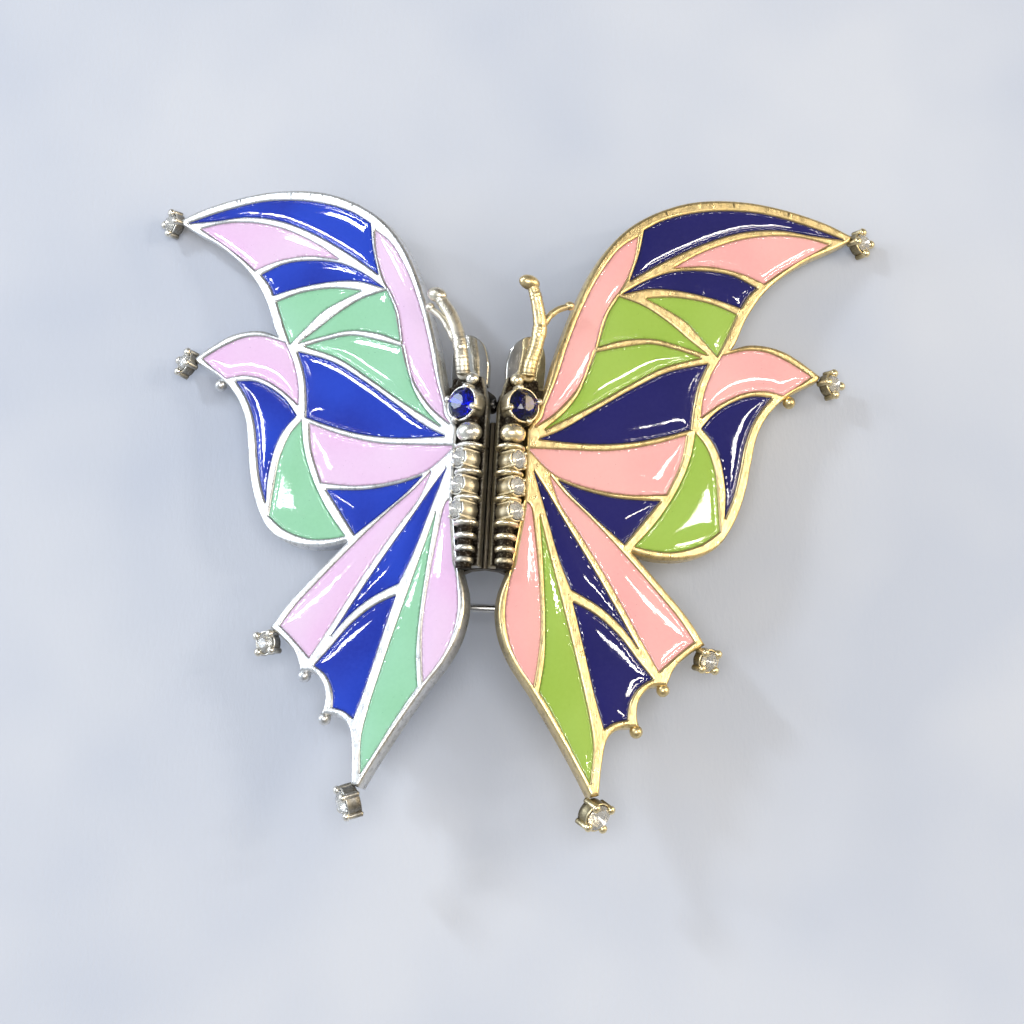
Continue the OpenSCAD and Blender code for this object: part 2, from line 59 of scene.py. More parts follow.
def make(name, verts, faces, side=0, smooth=True, mats=(), mat_ids=None, attrs=None):
    """A mesh object from wing-frame vertices (side 1 or -1) or row-frame millimetres (side 0)."""
    v = place(verts, side) if side else np.asarray(verts, float) * MM
    if side == -1:
        faces = [tuple(reversed(f)) for f in faces]
    me = bpy.data.meshes.new(name)
    me.from_pydata([tuple(x) for x in v], [], [tuple(int(i) for i in f) for f in faces])
    me.validate()
    for m in mats:
        me.materials.append(m)
    if mat_ids is not None and len(mat_ids) == len(me.polygons):
        me.polygons.foreach_set("material_index", np.asarray(mat_ids, dtype=np.int32))
    for k, a in (attrs or {}).items():
        at = me.attributes.new(k, "FLOAT", "POINT")
        if len(a) == len(me.vertices):
            at.data.foreach_set("value", np.asarray(a, dtype=np.float32))
    me.polygons.foreach_set("use_smooth", [bool(smooth)] * len(me.polygons))
    me.update()
    o = bpy.data.objects.new(name, me)
    bpy.context.scene.collection.objects.link(o)
    return o


class Parts:
    """Collects vertices, faces, a per-vertex darkening value (antique patina in the hollows and painted shade in
    recesses and undersides) and a material index for one mesh.
    """

    def __init__(self):
        self.v, self.f, self.c, self.m = [], [], [], []
        self.n = 0

    def add(self, v, f, patina_shade=0.0, mat=0):
        v = np.asarray(v, float)
        self.v.append(v)
        self.f += [tuple(int(i) + self.n for i in q) for q in f]
        self.c.append(np.full(len(v), patina_shade, float) if np.isscalar(patina_shade) else np.asarray(patina_shade, float))
        self.m += [mat] * len(f) if np.isscalar(mat) else list(mat)
        self.n += len(v)

    def build(self, name, side, mats, smooth=True, weld=0.0):
        o = make(name, np.vstack(self.v), self.f, side, smooth, mats, self.m, {"patina_and_shade": np.concatenate(self.c)})
        if weld:
            bm = bmesh.new()
            bm.from_mesh(o.data)
            bmesh.ops.remove_doubles(bm, verts=bm.verts, dist=weld * MM)
            bm.to_mesh(o.data)
            bm.free()
        return o


def catmull(p, n):
    p = [np.asarray(x, float) for x in p]
    if len(p) < 3:
        return [p[0] + (p[1] - p[0]) * k / n for k in range(n)]
    out = []
    for i in range(len(p) - 1):
        a, b, c, d = p[max(i - 1, 0)], p[i], p[i + 1], p[min(i + 2, len(p) - 1)]
        for k in range(n):
            t = k / n
            out.append(0.5 * ((2 * b) + (c - a) * t + (2 * a - 5 * b + 4 * c - d) * t * t + (3 * b - a - 3 * c + d) * t ** 3))
    return out


def resample(pts, step):
    pts = np.asarray(pts, float)
    d = np.r_[0, np.cumsum(np.linalg.norm(np.diff(pts, axis=0), axis=1))]
    n = max(2, int(round(d[-1] / step)))
    s = np.linspace(0, d[-1], n + 1)
    return np.c_[tuple(np.interp(s, d, pts[:, k]) for k in range(pts.shape[1]))]


def loop(runs, step):
    """Closed polygon from runs of control points, sharp where the runs meet, evenly sampled between."""
    out = []
    for r in runs:
        c = catmull(r, 12) + [np.asarray(r[-1], float)]
        out.append(resample(c, step)[:-1])
    p = np.vstack(out)
    if area(p) < 0:
        p = p[::-1].copy()
    return p


def area(p):
    x, y = p[:, 0], p[:, 1]
    return 0.5 * float(np.sum(x * np.roll(y, -1) - np.roll(x, -1) * y))


def expand(p, s):
    """Base points and directions for shifting a counter-clockwise polygon outwards (s=1) or inwards (s=-1), with fans at the corners that open."""
    d = np.roll(p, -1, 0) - p
    d /= np.linalg.norm(d, axis=1)[:, None]
    nrm = np.c_[d[:, 1], -d[:, 0]]
    base, dirs = [], []
    for i in range(len(p)):
        n1, n2 = nrm[i - 1], nrm[i]
        turn = math.atan2(n1[0] * n2[1] - n1[1] * n2[0], float(n1 @ n2))
        if s * turn > math.radians(14):
            k = max(2, int(math.ceil(abs(turn) / math.radians(18))) + 1)
            a1 = math.atan2(n1[1], n1[0])
            for j in range(k):
                a = a1 + turn * j / (k - 1)
                base.append(p[i])
                dirs.append(s * np.array([math.cos(a), math.sin(a)]))
        else:
            m = s * (n1 + n2) / max(0.2, 1 + float(n1 @ n2))
            base.append(p[i])
            dirs.append(m)
    return np.array(base), np.array(dirs)


def inside(pts, poly):
    x, y = pts[:, 0][:, None], pts[:, 1][:, None]
    a, b = poly, np.roll(poly, -1, 0)
    c = (a[None, :, 1] > y) != (b[None, :, 1] > y)
    with np.errstate(divide="ignore", invalid="ignore"):
        xi = (b[:, 0] - a[:, 0])[None] * (y - a[None, :, 1]) / (b[:, 1] - a[:, 1])[None] + a[None, :, 0]
    return (np.sum(c & (x < xi), axis=1) % 2) == 1


def poly_dist(pts, poly):
    a, b = poly, np.roll(poly, -1, 0)
    ab = b - a
    out = np.empty(len(pts))
    for i in range(0, len(pts), 2000):
        q = pts[i:i + 2000]
        t = np.clip(((q[:, None] - a[None]) * ab[None]).sum(2) / (ab * ab).sum(1)[None], 0, 1)
        out[i:i + 2000] = np.sqrt((((a[None] + t[..., None] * ab[None]) - q[:, None]) ** 2).sum(2)).min(1)
    return out


def triangulate(loops, extra=None):
    """Constrained triangulation of the closed loops and the extra points: (points, triangles)."""
    pts, edges, n = [], [], 0
    for lp in loops:
        pts += [Vector((float(x), float(y))) for x, y in lp]
        edges += [(n + i, n + (i + 1) % len(lp)) for i in range(len(lp))]
        n += len(lp)
    if extra is not None and len(extra):
        pts += [Vector((float(x), float(y))) for x, y in extra]
    v, _, f, _, _, _ = delaunay_2d_cdt(pts, edges, [], 0, 1e-6)
    return np.array([[p.x, p.y] for p in v]), [tuple(t) for t in f]


def ccw(v2, tris):
    out = []
    for t in tris:
        a, b, c = (v2[i] for i in t[:3])
        out.append(t if (b[0] - a[0]) * (c[1] - a[1]) - (b[1] - a[1]) * (c[0] - a[0]) > 0 else tuple(reversed(t)))
    return out


def wobble(p, scale, seed=0.0):
    """Smooth repeatable noise in about -1..1 from a few sines, for n x 2 points."""
    x, y = p[:, 0] / scale, p[:, 1] / scale
    return (np.sin(1.7 * x + 0.9 * y + seed) + np.sin(-1.1 * x + 2.3 * y + 1.3 * seed + 1) + np.sin(2.9 * x - 0.7 * y + 2.1 * seed + 4)) / 3


def lathe(prof, seg=48, patina_shade=None):
    """Surface of revolution about the local +Z axis: prof is [(radius, height)], bottom to top. Closed where the radius is 0."""
    v, f, c = [], [], []
    rows = []
    for i, (r, h) in enumerate(prof):
        cv = 0.0 if patina_shade is None else patina_shade[i]
        if r < 1e-6:
            rows.append([len(v)])
            v.append((0, 0, h))
            c.append(cv)
        else:
            rows.append(list(range(len(v), len(v) + seg)))
            for k in range(seg):
                a = 2 * math.pi * k / seg
                v.append((r * math.cos(a), r * math.sin(a), h))
                c.append(cv)
    for a, b in zip(rows[:-1], rows[1:]):
        for k in range(seg):
            k2 = (k + 1) % seg
            if len(a) == 1 and len(b) == 1:
                continue
            if len(a) == 1:
                f.append((a[0], b[k2], b[k]))
            elif len(b) == 1:
                f.append((a[k], a[k2], b[0]))
            else:
                f.append((a[k], a[k2], b[k2], b[k]))
    return np.array(v), f, np.array(c)


def xf(v, m):
    v = np.asarray(v, float)
    a = np.array(m, float)
    return v @ a[:3, :3].T + a[:3, 3]


def frame_to(pos, lean_deg=0.0, head_deg=0.0):
    """Local +Z leaned by lean_deg towards the direction head_deg in the wing plane, at pos."""
    return (Matrix.Translation(Vector(pos)) @ Matrix.Rotation(math.radians(head_deg), 4, "Z") @ Matrix.Rotation(math.radians(lean_deg), 4, "Y"))


ALONG_V = Matrix.Rotation(math.radians(-90), 4, "X")


def ball(r, squash=(1, 1, 1), seg=24):
    prof = [(r * math.sin(math.pi * i / 12), -r * math.cos(math.pi * i / 12)) for i in range(13)]
    v, f, c = lathe(prof, seg)
    return v * np.array(squash), f, c


def tube(path, radii, seg=20, ridges=None):
    """Swept round tube with round ends; path is a list of 3-D points."""
    p = np.asarray(path, float)
    n = len(p)
    t = np.gradient(p, axis=0)
    t /= np.linalg.norm(t, axis=1)[:, None]
    up = np.array([0.0, 0.0, 1.0])
    v, f = [], []
    prev = None
    rr = np.asarray(radii, float)
    if ridges is not None:
        rr = rr + ridges
    for i in range(n):
        x = np.cross(up, t[i]) if prev is None else prev - t[i] * (prev @ t[i])
        x /= np.linalg.norm(x)
        prev = x
        y = np.cross(t[i], x)
        for k in range(seg):
            a = 2 * math.pi * k / seg
            v.append(p[i] + rr[i] * (math.cos(a) * x + math.sin(a) * y))
    for i in range(n - 1):
        for k in range(seg):
            k2 = (k + 1) % seg
            f.append((i * seg + k, i * seg + k2, (i + 1) * seg + k2, (i + 1) * seg + k))
    v.append(p[0] - t[0] * rr[0] * 0.5)
    v.append(p[-1] + t[-1] * rr[-1] * 0.5)
    a, b = len(v) - 2, len(v) - 1
    for k in range(seg):
        k2 = (k + 1) % seg
        f.append((a, k2, k))
        f.append(((n - 1) * seg + k, (n - 1) * seg + k2, b))
    return np.array(v), f


def brilliant(r, table=0.56, crown=0.34, pav=0.72, blue=False):
    """Cut stone: (vertices, faces, which faces are on the back). Girdle at height 0."""
    pts = []
    for k in range(8):
        a = math.radians(45 * k)
        pts.append((table * r * math.cos(a), table * r * math.sin(a), crown * r))
        b = math.radians(45 * k + 22.5)
        pts.append((0.80 * r * math.cos(b), 0.80 * r * math.sin(b), 0.58 * crown * r))
        pts.append((0.56 * r * math.cos(b), 0.56 * r * math.sin(b), -0.42 * pav * r))
    for k in range(16):
        a = math.radians(22.5 * k)
        pts.append((r * math.cos(a), r * math.sin(a), 0.035 * r))
        pts.append((r * math.cos(a), r * math.sin(a), -0.035 * r))
    pts.append((0, 0, -pav * r))
    bm = bmesh.new()
    for p in pts:
        bm.verts.new(p)
    bmesh.ops.convex_hull(bm, input=bm.verts)
    bmesh.ops.dissolve_limit(bm, angle_limit=math.radians(1.0), verts=bm.verts, edges=bm.edges)
    bm.normal_update()
    bm.verts.index_update()
    v = np.array([list(x.co) for x in bm.verts])
    f = [tuple(q.index for q in fc.verts) for fc in bm.faces]
    back = [1 if fc.normal.z < -0.15 else 0 for fc in bm.faces]
    bm.free()
    return v, f, back


# ---------------------------------------------------------------- materials
def nodes_of(name):
    m = bpy.data.materials.new(name)
    m.use_nodes = True
    nt = m.node_tree
    nt.nodes.clear()
    out = nt.nodes.new("ShaderNodeOutputMaterial")
    b = nt.nodes.new("ShaderNodeBsdfPrincipled")
    nt.links.new(b.outputs[0], out.inputs[0])
    return m, nt, b


class G:
    """Small helper for shader graphs in millimetres of object space."""

    def __init__(self, nt):
        self.nt = nt
        tc = nt.nodes.new("ShaderNodeTexCoord")
        mp = nt.nodes.new("ShaderNodeMapping")
        mp.inputs["Scale"].default_value = (1000, 1000, 1000)
        nt.links.new(tc.outputs["Object"], mp.inputs["Vector"])
        self.mm = mp.outputs[0]

    def mapped(self, rot=(0, 0, 0), scale=(1, 1, 1), src=None):
        n = self.nt.nodes.new("ShaderNodeMapping")
        n.inputs["Rotation"].default_value = rot
        n.inputs["Scale"].default_value = scale
        self.nt.links.new(src or self.mm, n.inputs["Vector"])
        return n.outputs[0]

    def noise(self, scale, detail=3.0, rough=0.55, vec=None, distortion=0.0):
        n = self.nt.nodes.new("ShaderNodeTexNoise")
        n.inputs["Scale"].default_value = scale
        n.inputs["Detail"].default_value = detail
        n.inputs["Roughness"].default_value = rough
        n.inputs["Distortion"].default_value = distortion
        self.nt.links.new(vec or self.mm, n.inputs["Vector"])
        return n.outputs[0]

    def voronoi(self, scale, vec=None):
        n = self.nt.nodes.new("ShaderNodeTexVoronoi")
        n.inputs["Scale"].default_value = scale
        self.nt.links.new(vec or self.mm, n.inputs["Vector"])
        return n.outputs["Distance"]

    def math(self, op, a, b=None, clamp=False):
        n = self.nt.nodes.new("ShaderNodeMath")
        n.operation = op
        n.use_clamp = clamp
        for i, x in enumerate((a, b)):
            if x is None:
                continue
            if isinstance(x, (int, float)):
                n.inputs[i].default_value = x
            else:
                self.nt.links.new(x, n.inputs[i])
        return n.outputs[0]

    def ramp(self, fac, stops):
        n = self.nt.nodes.new("ShaderNodeValToRGB")
        e = n.color_ramp.elements
        while len(e) > 1:
            e.remove(e[-1])
        e[0].position, e[0].color = stops[0][0], (*stops[0][1], 1)
        for p, c in stops[1:]:
            x = e.new(p)
            x.color = (*c, 1)
        self.nt.links.new(fac, n.inputs[0])
        return n.outputs[0]

    def range(self, x, a, b, c, d):
        n = self.nt.nodes.new("ShaderNodeMapRange")
        for i, val in zip((1, 2, 3, 4), (a, b, c, d)):
            n.inputs[i].default_value = val
        self.nt.links.new(x, n.inputs[0])
        return n.outputs[0]

    def mix(self, fac, a, b):
        n = self.nt.nodes.new("ShaderNodeMix")
        n.data_type = "RGBA"
        for i, x in ((0, fac), (6, a), (7, b)):
            if isinstance(x, (int, float)):
                n.inputs[i].default_value = x
            elif isinstance(x, tuple):
                n.inputs[i].default_value = (*x, 1)
            else:
                self.nt.links.new(x, n.inputs[i])
        return n.outputs[2]

    def attr(self, name):
        n = self.nt.nodes.new("ShaderNodeAttribute")
        n.attribute_name = name
        return n.outputs["Fac"]

    def bump(self, height, strength, dist_mm, normal=None):
        n = self.nt.nodes.new("ShaderNodeBump")
        n.inputs["Strength"].default_value = strength
        n.inputs["Distance"].default_value = dist_mm * MM
        self.nt.links.new(height, n.inputs["Height"])
        if normal is not None:
            self.nt.links.new(normal, n.inputs["Normal"])
        return n.outputs[0]

    def link(self, a, b):
        self.nt.links.new(a, b)


def metal(name, colour, dark, rough=(0.14, 0.34), scratch=0.5, pits=0.25, patina_and_shade=True, hatch=0.0):
    m, nt, b = nodes_of(name)
    g = G(nt)
    b.inputs["Metallic"].default_value = 1.0
    big = g.noise(0.35, 3)
    fine = g.noise(5.0, 4, 0.65)
    tint = g.mix(g.range(big, 0.35, 0.7, 0.0, 1.0), colour, tuple(c * f for c, f in zip(colour, (0.90, 0.87, 0.80))))
    # fine hairline scratches, in three directions
    s = None
    for a, sc in ((0.35, 7.0), (-0.9, 9.0), (1.45, 8.0)):
        v = g.mapped((0.2, 0.1, a), (sc, 0.5, sc))
        n = g.noise(1.0, 2, 0.5, v)
        k = g.range(n, 0.60, 0.72, 0.0, 1.0)
        s = k if s is None else g.math("MAXIMUM", s, k)
    wear = g.math("MULTIPLY", s, g.range(fine, 0.35, 0.65, 0.2, 1.0))
    specks = g.range(g.noise(11.0, 2, 0.7), 0.70, 0.78, 0.0, 1.0)
    darkness = g.math("MULTIPLY", specks, 0.55)
    # Darker hollows and undersides from the per-vertex value: partly antique patina, partly painted shade
    if patina_and_shade:
        patina_shade = g.math("MULTIPLY", g.attr("patina_and_shade"), g.range(fine, 0.25, 0.6, 0.75, 1.15), clamp=True)
        darkness = g.math("MAXIMUM", darkness, patina_shade)
    if hatch:
        bands = g.range(g.noise(1.5, 3, 0.6, g.mapped((0.0, 0.0, 0.7), (1.7, 1.0, 1))), 0.50, 0.74, 0.0, 0.42)
        darkness = g.math("MAXIMUM", darkness, bands)
    col = g.mix(darkness, tint, dark)
    g.link(col, b.inputs["Base Color"])
    r = g.range(g.noise(1.2, 4), 0.3, 0.72, rough[0], rough[1])
    r = g.math("ADD", r, g.math("MULTIPLY", wear, 0.10))
    r = g.math("ADD", r, g.math("MULTIPLY", darkness, 0.25), clamp=True)
    g.link(r, b.inputs["Roughness"])
    h = g.math("SUBTRACT", g.math("MULTIPLY", fine, pits), g.math("MULTIPLY", wear, scratch))
    nrm = g.bump(h, 0.55, 0.018)
    if hatch:
        v = g.mapped((0, 0, 0.2), (1, 1, 1))
        w = g.noise(2.6, 1, 0.4, g.mapped((0.0, 0.0, 0.9), (2.2, 0.7, 1)))
        nrm = g.bump(w, hatch, 0.06, nrm)
    g.link(nrm, b.inputs["Normal"])
    return m


def enamel_mat(name, colour, deep, speck=(0.05, 0.04, 0.04)):
    m, nt, b = nodes_of(name)
    g = G(nt)
    n1 = g.noise(0.12, 1, 0.4)
    n2 = g.noise(2.2, 4, 0.6)
    col = g.mix(g.range(n1, 0.35, 0.68, 0.0, 1.0), colour, deep)
    col = g.mix(g.range(n2, 0.35, 0.75, 0.0, 0.16), col, tuple(min(1.0, c * 1.18 + 0.02) for c in colour))
    spots = g.range(g.noise(5.5, 1, 0.4), 0.775, 0.80, 0.0, 0.5)
    col = g.mix(spots, col, speck)
    # Painted shade: the enamel is darkened along the cell walls, in the crease beside the ribs
    edge = g.math("MULTIPLY", g.attr("patina_and_shade"), 0.55, clamp=True)
    col = g.mix(edge, col, tuple(c * 0.45 for c in deep))
    g.link(col, b.inputs["Base Color"])
    b.inputs["Roughness"].default_value = 0.2
    b.inputs["IOR"].default_value = 1.5
    b.inputs["Specular IOR Level"].default_value = 0.0
    b.inputs["Coat Weight"].default_value = 1.0
    b.inputs["Coat Roughness"].default_value = 0.03
    b.inputs["Coat IOR"].default_value = 1.5
    nrm = g.bump(g.noise(1.1, 2, 0.5), 0.09, 0.05)
    nrm = g.bump(g.noise(9.0, 2, 0.6), 0.08, 0.01, nrm)
    g.link(nrm, b.inputs["Normal"])
    g.link(nrm, b.inputs["Coat Normal"])
    return m


def crystal(name, colour, rough=0.0, clear=1.0):
    m, nt, b = nodes_of(name)
    g = G(nt)
    b.inputs["IOR"].default_value = 1.58
    b.inputs["Transmission Weight"].default_value = clear
    g.link(g.mix(g.range(g.noise(1.5, 2), 0.3, 0.7, 0, 1), colour, tuple(c * 0.92 for c in colour)), b.inputs["Base Color"])
    g.link(g.range(g.noise(6.0, 3), 0.55, 0.8, rough, rough + 0.10), b.inputs["Roughness"])
    return m


def foil(name, colour, dark, rough=(0.04, 0.16)):
    m, nt, b = nodes_of(name)
    g = G(nt)
    b.inputs["Metallic"].default_value = 1.0
    g.link(g.mix(g.range(g.noise(3.0, 3), 0.42, 0.66, 0, 1), colour, dark), b.inputs["Base Color"])
    g.link(g.range(g.noise(4.0, 2), 0.3, 0.7, rough[0], rough[1]), b.inputs["Roughness"])
    return m


def lin(r, g, b):
    return tuple(((c / 255) / 12.92 if c / 255 < 0.04045 else (((c / 255) + 0.055) / 1.055) ** 2.4) for c in (r, g, b))


CLEAR = crystal("clear_crystal", (0.98, 0.98, 0.97), clear=0.82)
SILVER_FOIL = foil("silver_foil", (1.0, 0.99, 0.96), (0.88, 0.84, 0.74), (0.16, 0.34))
SAPPHIRE = crystal("sapphire_glass", lin(40, 76, 226))
NAVY_GLASS = crystal("navy_glass", lin(22, 32, 130))
BLUE_FOIL = foil("blue_foil", lin(96, 126, 240), lin(14, 22, 90), (0.10, 0.26))

# Colour that the metals are darkened towards: dark specks, antique patina in hollows, and painted shade
DARK = (0.018, 0.013, 0.009)
# Each material has a left and a right copy: painted light, the left copies cooler and silvery for the cool light from
# the left, the right copies warmer and golden for the warm light from the right
M = {
    -1: {
        "cast": metal("cast_metal_left_painted_cool_light", lin(228, 229, 230), DARK, rough=(0.24, 0.40), hatch=0.34),
        "ant": metal("antenna_metal_left_painted_cool_light", lin(236, 228, 210), DARK, rough=(0.22, 0.38), scratch=0.9, hatch=0.08),
        "tip": metal("tip_metal_left_painted_cool_light", lin(236, 232, 222), DARK, rough=(0.18, 0.36), scratch=0.7),
        "body": metal("body_metal_left_painted_cool_light", lin(246, 243, 234), DARK, rough=(0.20, 0.38), scratch=0.7),
        "eye": SAPPHIRE,
        "blue": enamel_mat("enamel_blue_left_painted_cool_light", lin(28, 64, 188), lin(20, 44, 156)),
        "pink": enamel_mat("enamel_pink_left_painted_cool_light", lin(227, 198, 224), lin(225, 186, 221), lin(120, 70, 110)),
        "green": enamel_mat("enamel_green_left_painted_cool_light", lin(152, 206, 172), lin(142, 199, 159), lin(60, 100, 70)),
    },
    1: {
        "cast": metal("cast_metal_right_painted_warm_light", lin(230, 209, 158), DARK, rough=(0.24, 0.40), hatch=0.34),
        "ant": metal("antenna_metal_right_painted_warm_light", lin(244, 222, 172), DARK, rough=(0.22, 0.38), scratch=0.9, hatch=0.08),
        "tip": metal("tip_metal_right_painted_warm_light", lin(238, 222, 180), DARK, rough=(0.18, 0.36), scratch=0.7),
        "body": metal("body_metal_right_painted_warm_light", lin(247, 234, 202), DARK, rough=(0.20, 0.38), scratch=0.7),
        "eye": NAVY_GLASS,
        "blue": enamel_mat("enamel_blue_right_painted_warm_light", lin(27, 27, 101), lin(20, 22, 92)),
        "pink": enamel_mat("enamel_pink_right_painted_warm_light", lin(236, 179, 179), lin(233, 169, 171), lin(120, 60, 70)),
        "green": enamel_mat("enamel_green_right_painted_warm_light", lin(155, 189, 87), lin(148, 183, 76), lin(70, 90, 30)),
    },
}
LEVER = metal("polished_metal", lin(226, 226, 224), DARK, rough=(0.05, 0.16), scratch=0.35, pits=0.12, patina_and_shade=False)
# Frame metal: a dark antique tone, darkened further so that the web seen through the gap between the halves reads as
# shadow (painted shade)
FRAME_METAL_SHADED = metal("frame_metal", lin(98, 92, 82), (0.02, 0.017, 0.014), rough=(0.24, 0.42), scratch=0.8, patina_and_shade=False)
STEEL = metal("steel_wire", lin(196, 196, 196), DARK, rough=(0.12, 0.26), scratch=0.5, patina_and_shade=False)
BRONZE = metal("bronze_wire", lin(196, 150, 78), (0.05, 0.03, 0.01), rough=(0.18, 0.34), scratch=0.5, patina_and_shade=False)

# ---------------------------------------------------------------- the wing's drawing, in wing-frame millimetres
STEP = 0.16
OUT = [
    [[4.9, 13], [5.5, 15], [6.2, 18], [7.2, 21.5], [8.5, 25.3], [10, 28.8], [12, 32.1], [14.5, 34.8], [18, 37.1], [22, 38.7], [27, 39.5], [32, 39.4], [37, 38.6], [40.4, 37.5]],
    [[40.4, 37.5], [40.2, 36.8]],
    [[40.2, 36.8], [38, 35.4], [35, 33.6], [32, 31.2], [29.8, 28.8], [28, 25.8], [26.9, 23], [26.3, 21.9]],
    [[26.3, 21.9], [28.2, 22.7], [30.2, 22.9], [32.4, 22.6], [34.5, 21.7], [36.9, 20.3]],
    [[36.9, 20.3], [36.6, 19.7]],
    [[36.6, 19.7], [34.5, 18.4], [32.4, 16.8], [30.7, 14.7], [29.6, 12.3], [29, 9.2], [28.4, 5.8], [27.2, 2.2], [25.2, -0.8], [22, -2.4], [18.5, -2.8], [15.7, -2.4]],
    [[15.7, -2.4], [19, -5.5], [22.2, -8.7], [24.3, -11.5]],
    [[24.3, -11.5], [22.5, -12.8], [21, -14.4], [20.2, -16.4]],
    [[20.2, -16.4], [18.4, -16.7], [17.2, -18.2], [17, -19.8], [17.3, -21.1]],
    [[17.3, -21.1], [15.3, -21.4], [13.9, -22.6], [13.4, -25.2], [13.2, -28.6]],
    [[13.2, -28.6], [12.3, -28.9]],
    [[12.3, -28.9], [10.8, -26.4], [8.3, -22.6], [5.6, -18.8], [3.4, -16], [2, -13.4], [1.4, -10.8], [1.5, -8.6], [2.1, -6.6], [2.6, -5.2]],
    [[2.6, -5.2], [3.4, 1]],
    [[3.4, 1], [3.4, 9.6]],
    [[3.4, 9.6], [4.2, 11], [4.9, 13]],
]
BLUE = [
    [[[15.6, 34.2], [18, 35.8], [21.5, 37.2], [25.5, 38.1], [30, 38.4], [35, 37.8], [39.3, 36.9]], [[39.3, 36.9], [35.5, 36.8], [31.5, 36.8], [27, 35.8], [22.5, 33.7], [18, 30.9], [14.2, 28.1]], [[14.2, 28.1], [15.1, 31.2], [15.6, 34.2]]],
    [[[13.4, 26.4], [16, 28.3], [19, 29.8], [22.5, 30.5], [26, 30.5], [29, 29.5]], [[29, 29.5], [27.9, 28.2], [27.2, 26.9]], [[27.2, 26.9], [24, 27.5], [20, 27.8], [16.5, 27.5], [13.4, 26.4]]],
    [[[4.8, 8.7], [7.5, 10.2], [11, 12.8], [15, 15.7], [19, 18.2], [23.5, 19.8]], [[23.5, 19.8], [22.5, 17.2], [22, 14.5], [21.8, 12.1]], [[21.8, 12.1], [18.5, 10.8], [14.5, 9.6], [10, 8.9], [4.8, 8.7]]],
    [[[23.1, 12.4], [24.6, 14.3], [26.6, 15.8], [28.8, 16.8], [31.1, 17]], [[31.1, 17], [29.3, 14.4], [28.2, 11.4], [27.6, 8], [27, 5.2], [26.1, 2.7]], [[26.1, 2.7], [26.1, 5.6], [25.5, 8.8], [24.5, 10.9], [23.1, 12.4]]],
    [[[7.2, 4.4], [10, 3.7], [14, 3.3], [18.6, 3.6]], [[18.6, 3.6], [16.7, 1], [14.8, -1.6]], [[14.8, -1.6], [12, 0.4], [9.3, 2.4], [7.2, 4.4]]],
    [[[4.4, 5.1], [6.1, 2.8], [8.4, -0.5], [11, -4.1], [13.6, -7.9], [16.7, -12.6]], [[16.7, -12.6], [14.8, -10.5], [12.2, -8.6], [9.1, -7.2]], [[9.1, -7.2], [7.6, -3.9], [6, 0.6], [4.4, 5.1]]],
    [[[9.4, -8.6], [12, -9.7], [14.6, -11.6], [16.7, -13.9], [18.5, -15.8]], [[18.5, -15.8], [17, -16.9], [16.1, -18.6], [15.9, -20.4]], [[15.9, -20.4], [14.6, -20.8], [13.4, -21.6]], [[13.4, -21.6], [12.3, -18.4], [10.9, -13.6], [9.4, -8.6]]],
]
PINK = [
    [[[19.3, 30.4], [22.4, 32.6], [26.5, 34.7], [30.5, 35.9], [34.2, 36.3], [37.5, 36]], [[37.5, 36], [34.6, 33.9], [32, 32], [29.9, 30.2]], [[29.9, 30.2], [27, 31], [23.2, 31.2], [19.3, 30.4]]],
    [[[5.3, 12.4], [6.5, 16], [7.5, 19.8], [8.8, 23.8], [10.5, 27.8], [12.7, 31.4], [14.9, 33.3]], [[14.9, 33.3], [14.5, 30.4], [13.4, 27.4], [11.9, 24.8], [11, 21.6], [10.1, 18.2], [8.8, 15.1], [6.6, 12.1], [4.3, 10.1]], [[4.3, 10.1], [5, 11.1], [5.3, 12.4]]],
    [[[25.2, 21], [28, 22], [30.6, 22.1], [33.2, 21.3], [35.7, 20.1]], [[35.7, 20.1], [34.2, 18.8], [32.6, 17.5]], [[32.6, 17.5], [30.2, 17.7], [27.6, 17], [25, 15.4], [23, 13.7]], [[23, 13.7], [23.2, 16], [24, 18.6], [25.2, 21]]],
    [[[3.6, 7.5], [8, 7.9], [12.5, 8.4], [17, 9.6], [21.3, 11.3]], [[21.3, 11.3], [20.8, 8.2], [19.3, 4.5]], [[19.3, 4.5], [15, 3.9], [10.5, 4.1], [6.6, 5.1], [3.6, 7.5]]],
    [[[6.2, 4.8], [8.2, 2.8], [11, 0.6], [14.3, -2.3], [18, -5.8], [21.2, -9], [23, -11.3]], [[23, -11.3], [21.2, -12.9], [19.2, -14.9]], [[19.2, -14.9], [16.6, -11], [13.4, -6.1], [9.8, -1.1], [7.4, 2], [6.2, 4.8]]],
    [[[3.7, 1.6], [4.3, 1], [4.8, -1.6], [5.3, -4.8], [5.7, -8], [6, -12], [5.8, -15.6], [5.5, -17.9]], [[5.5, -17.9], [3.8, -15.8], [2.6, -13.2], [2.1, -10.4], [2.4, -7.2], [3, -3.4], [3.7, 1.6]]],
]
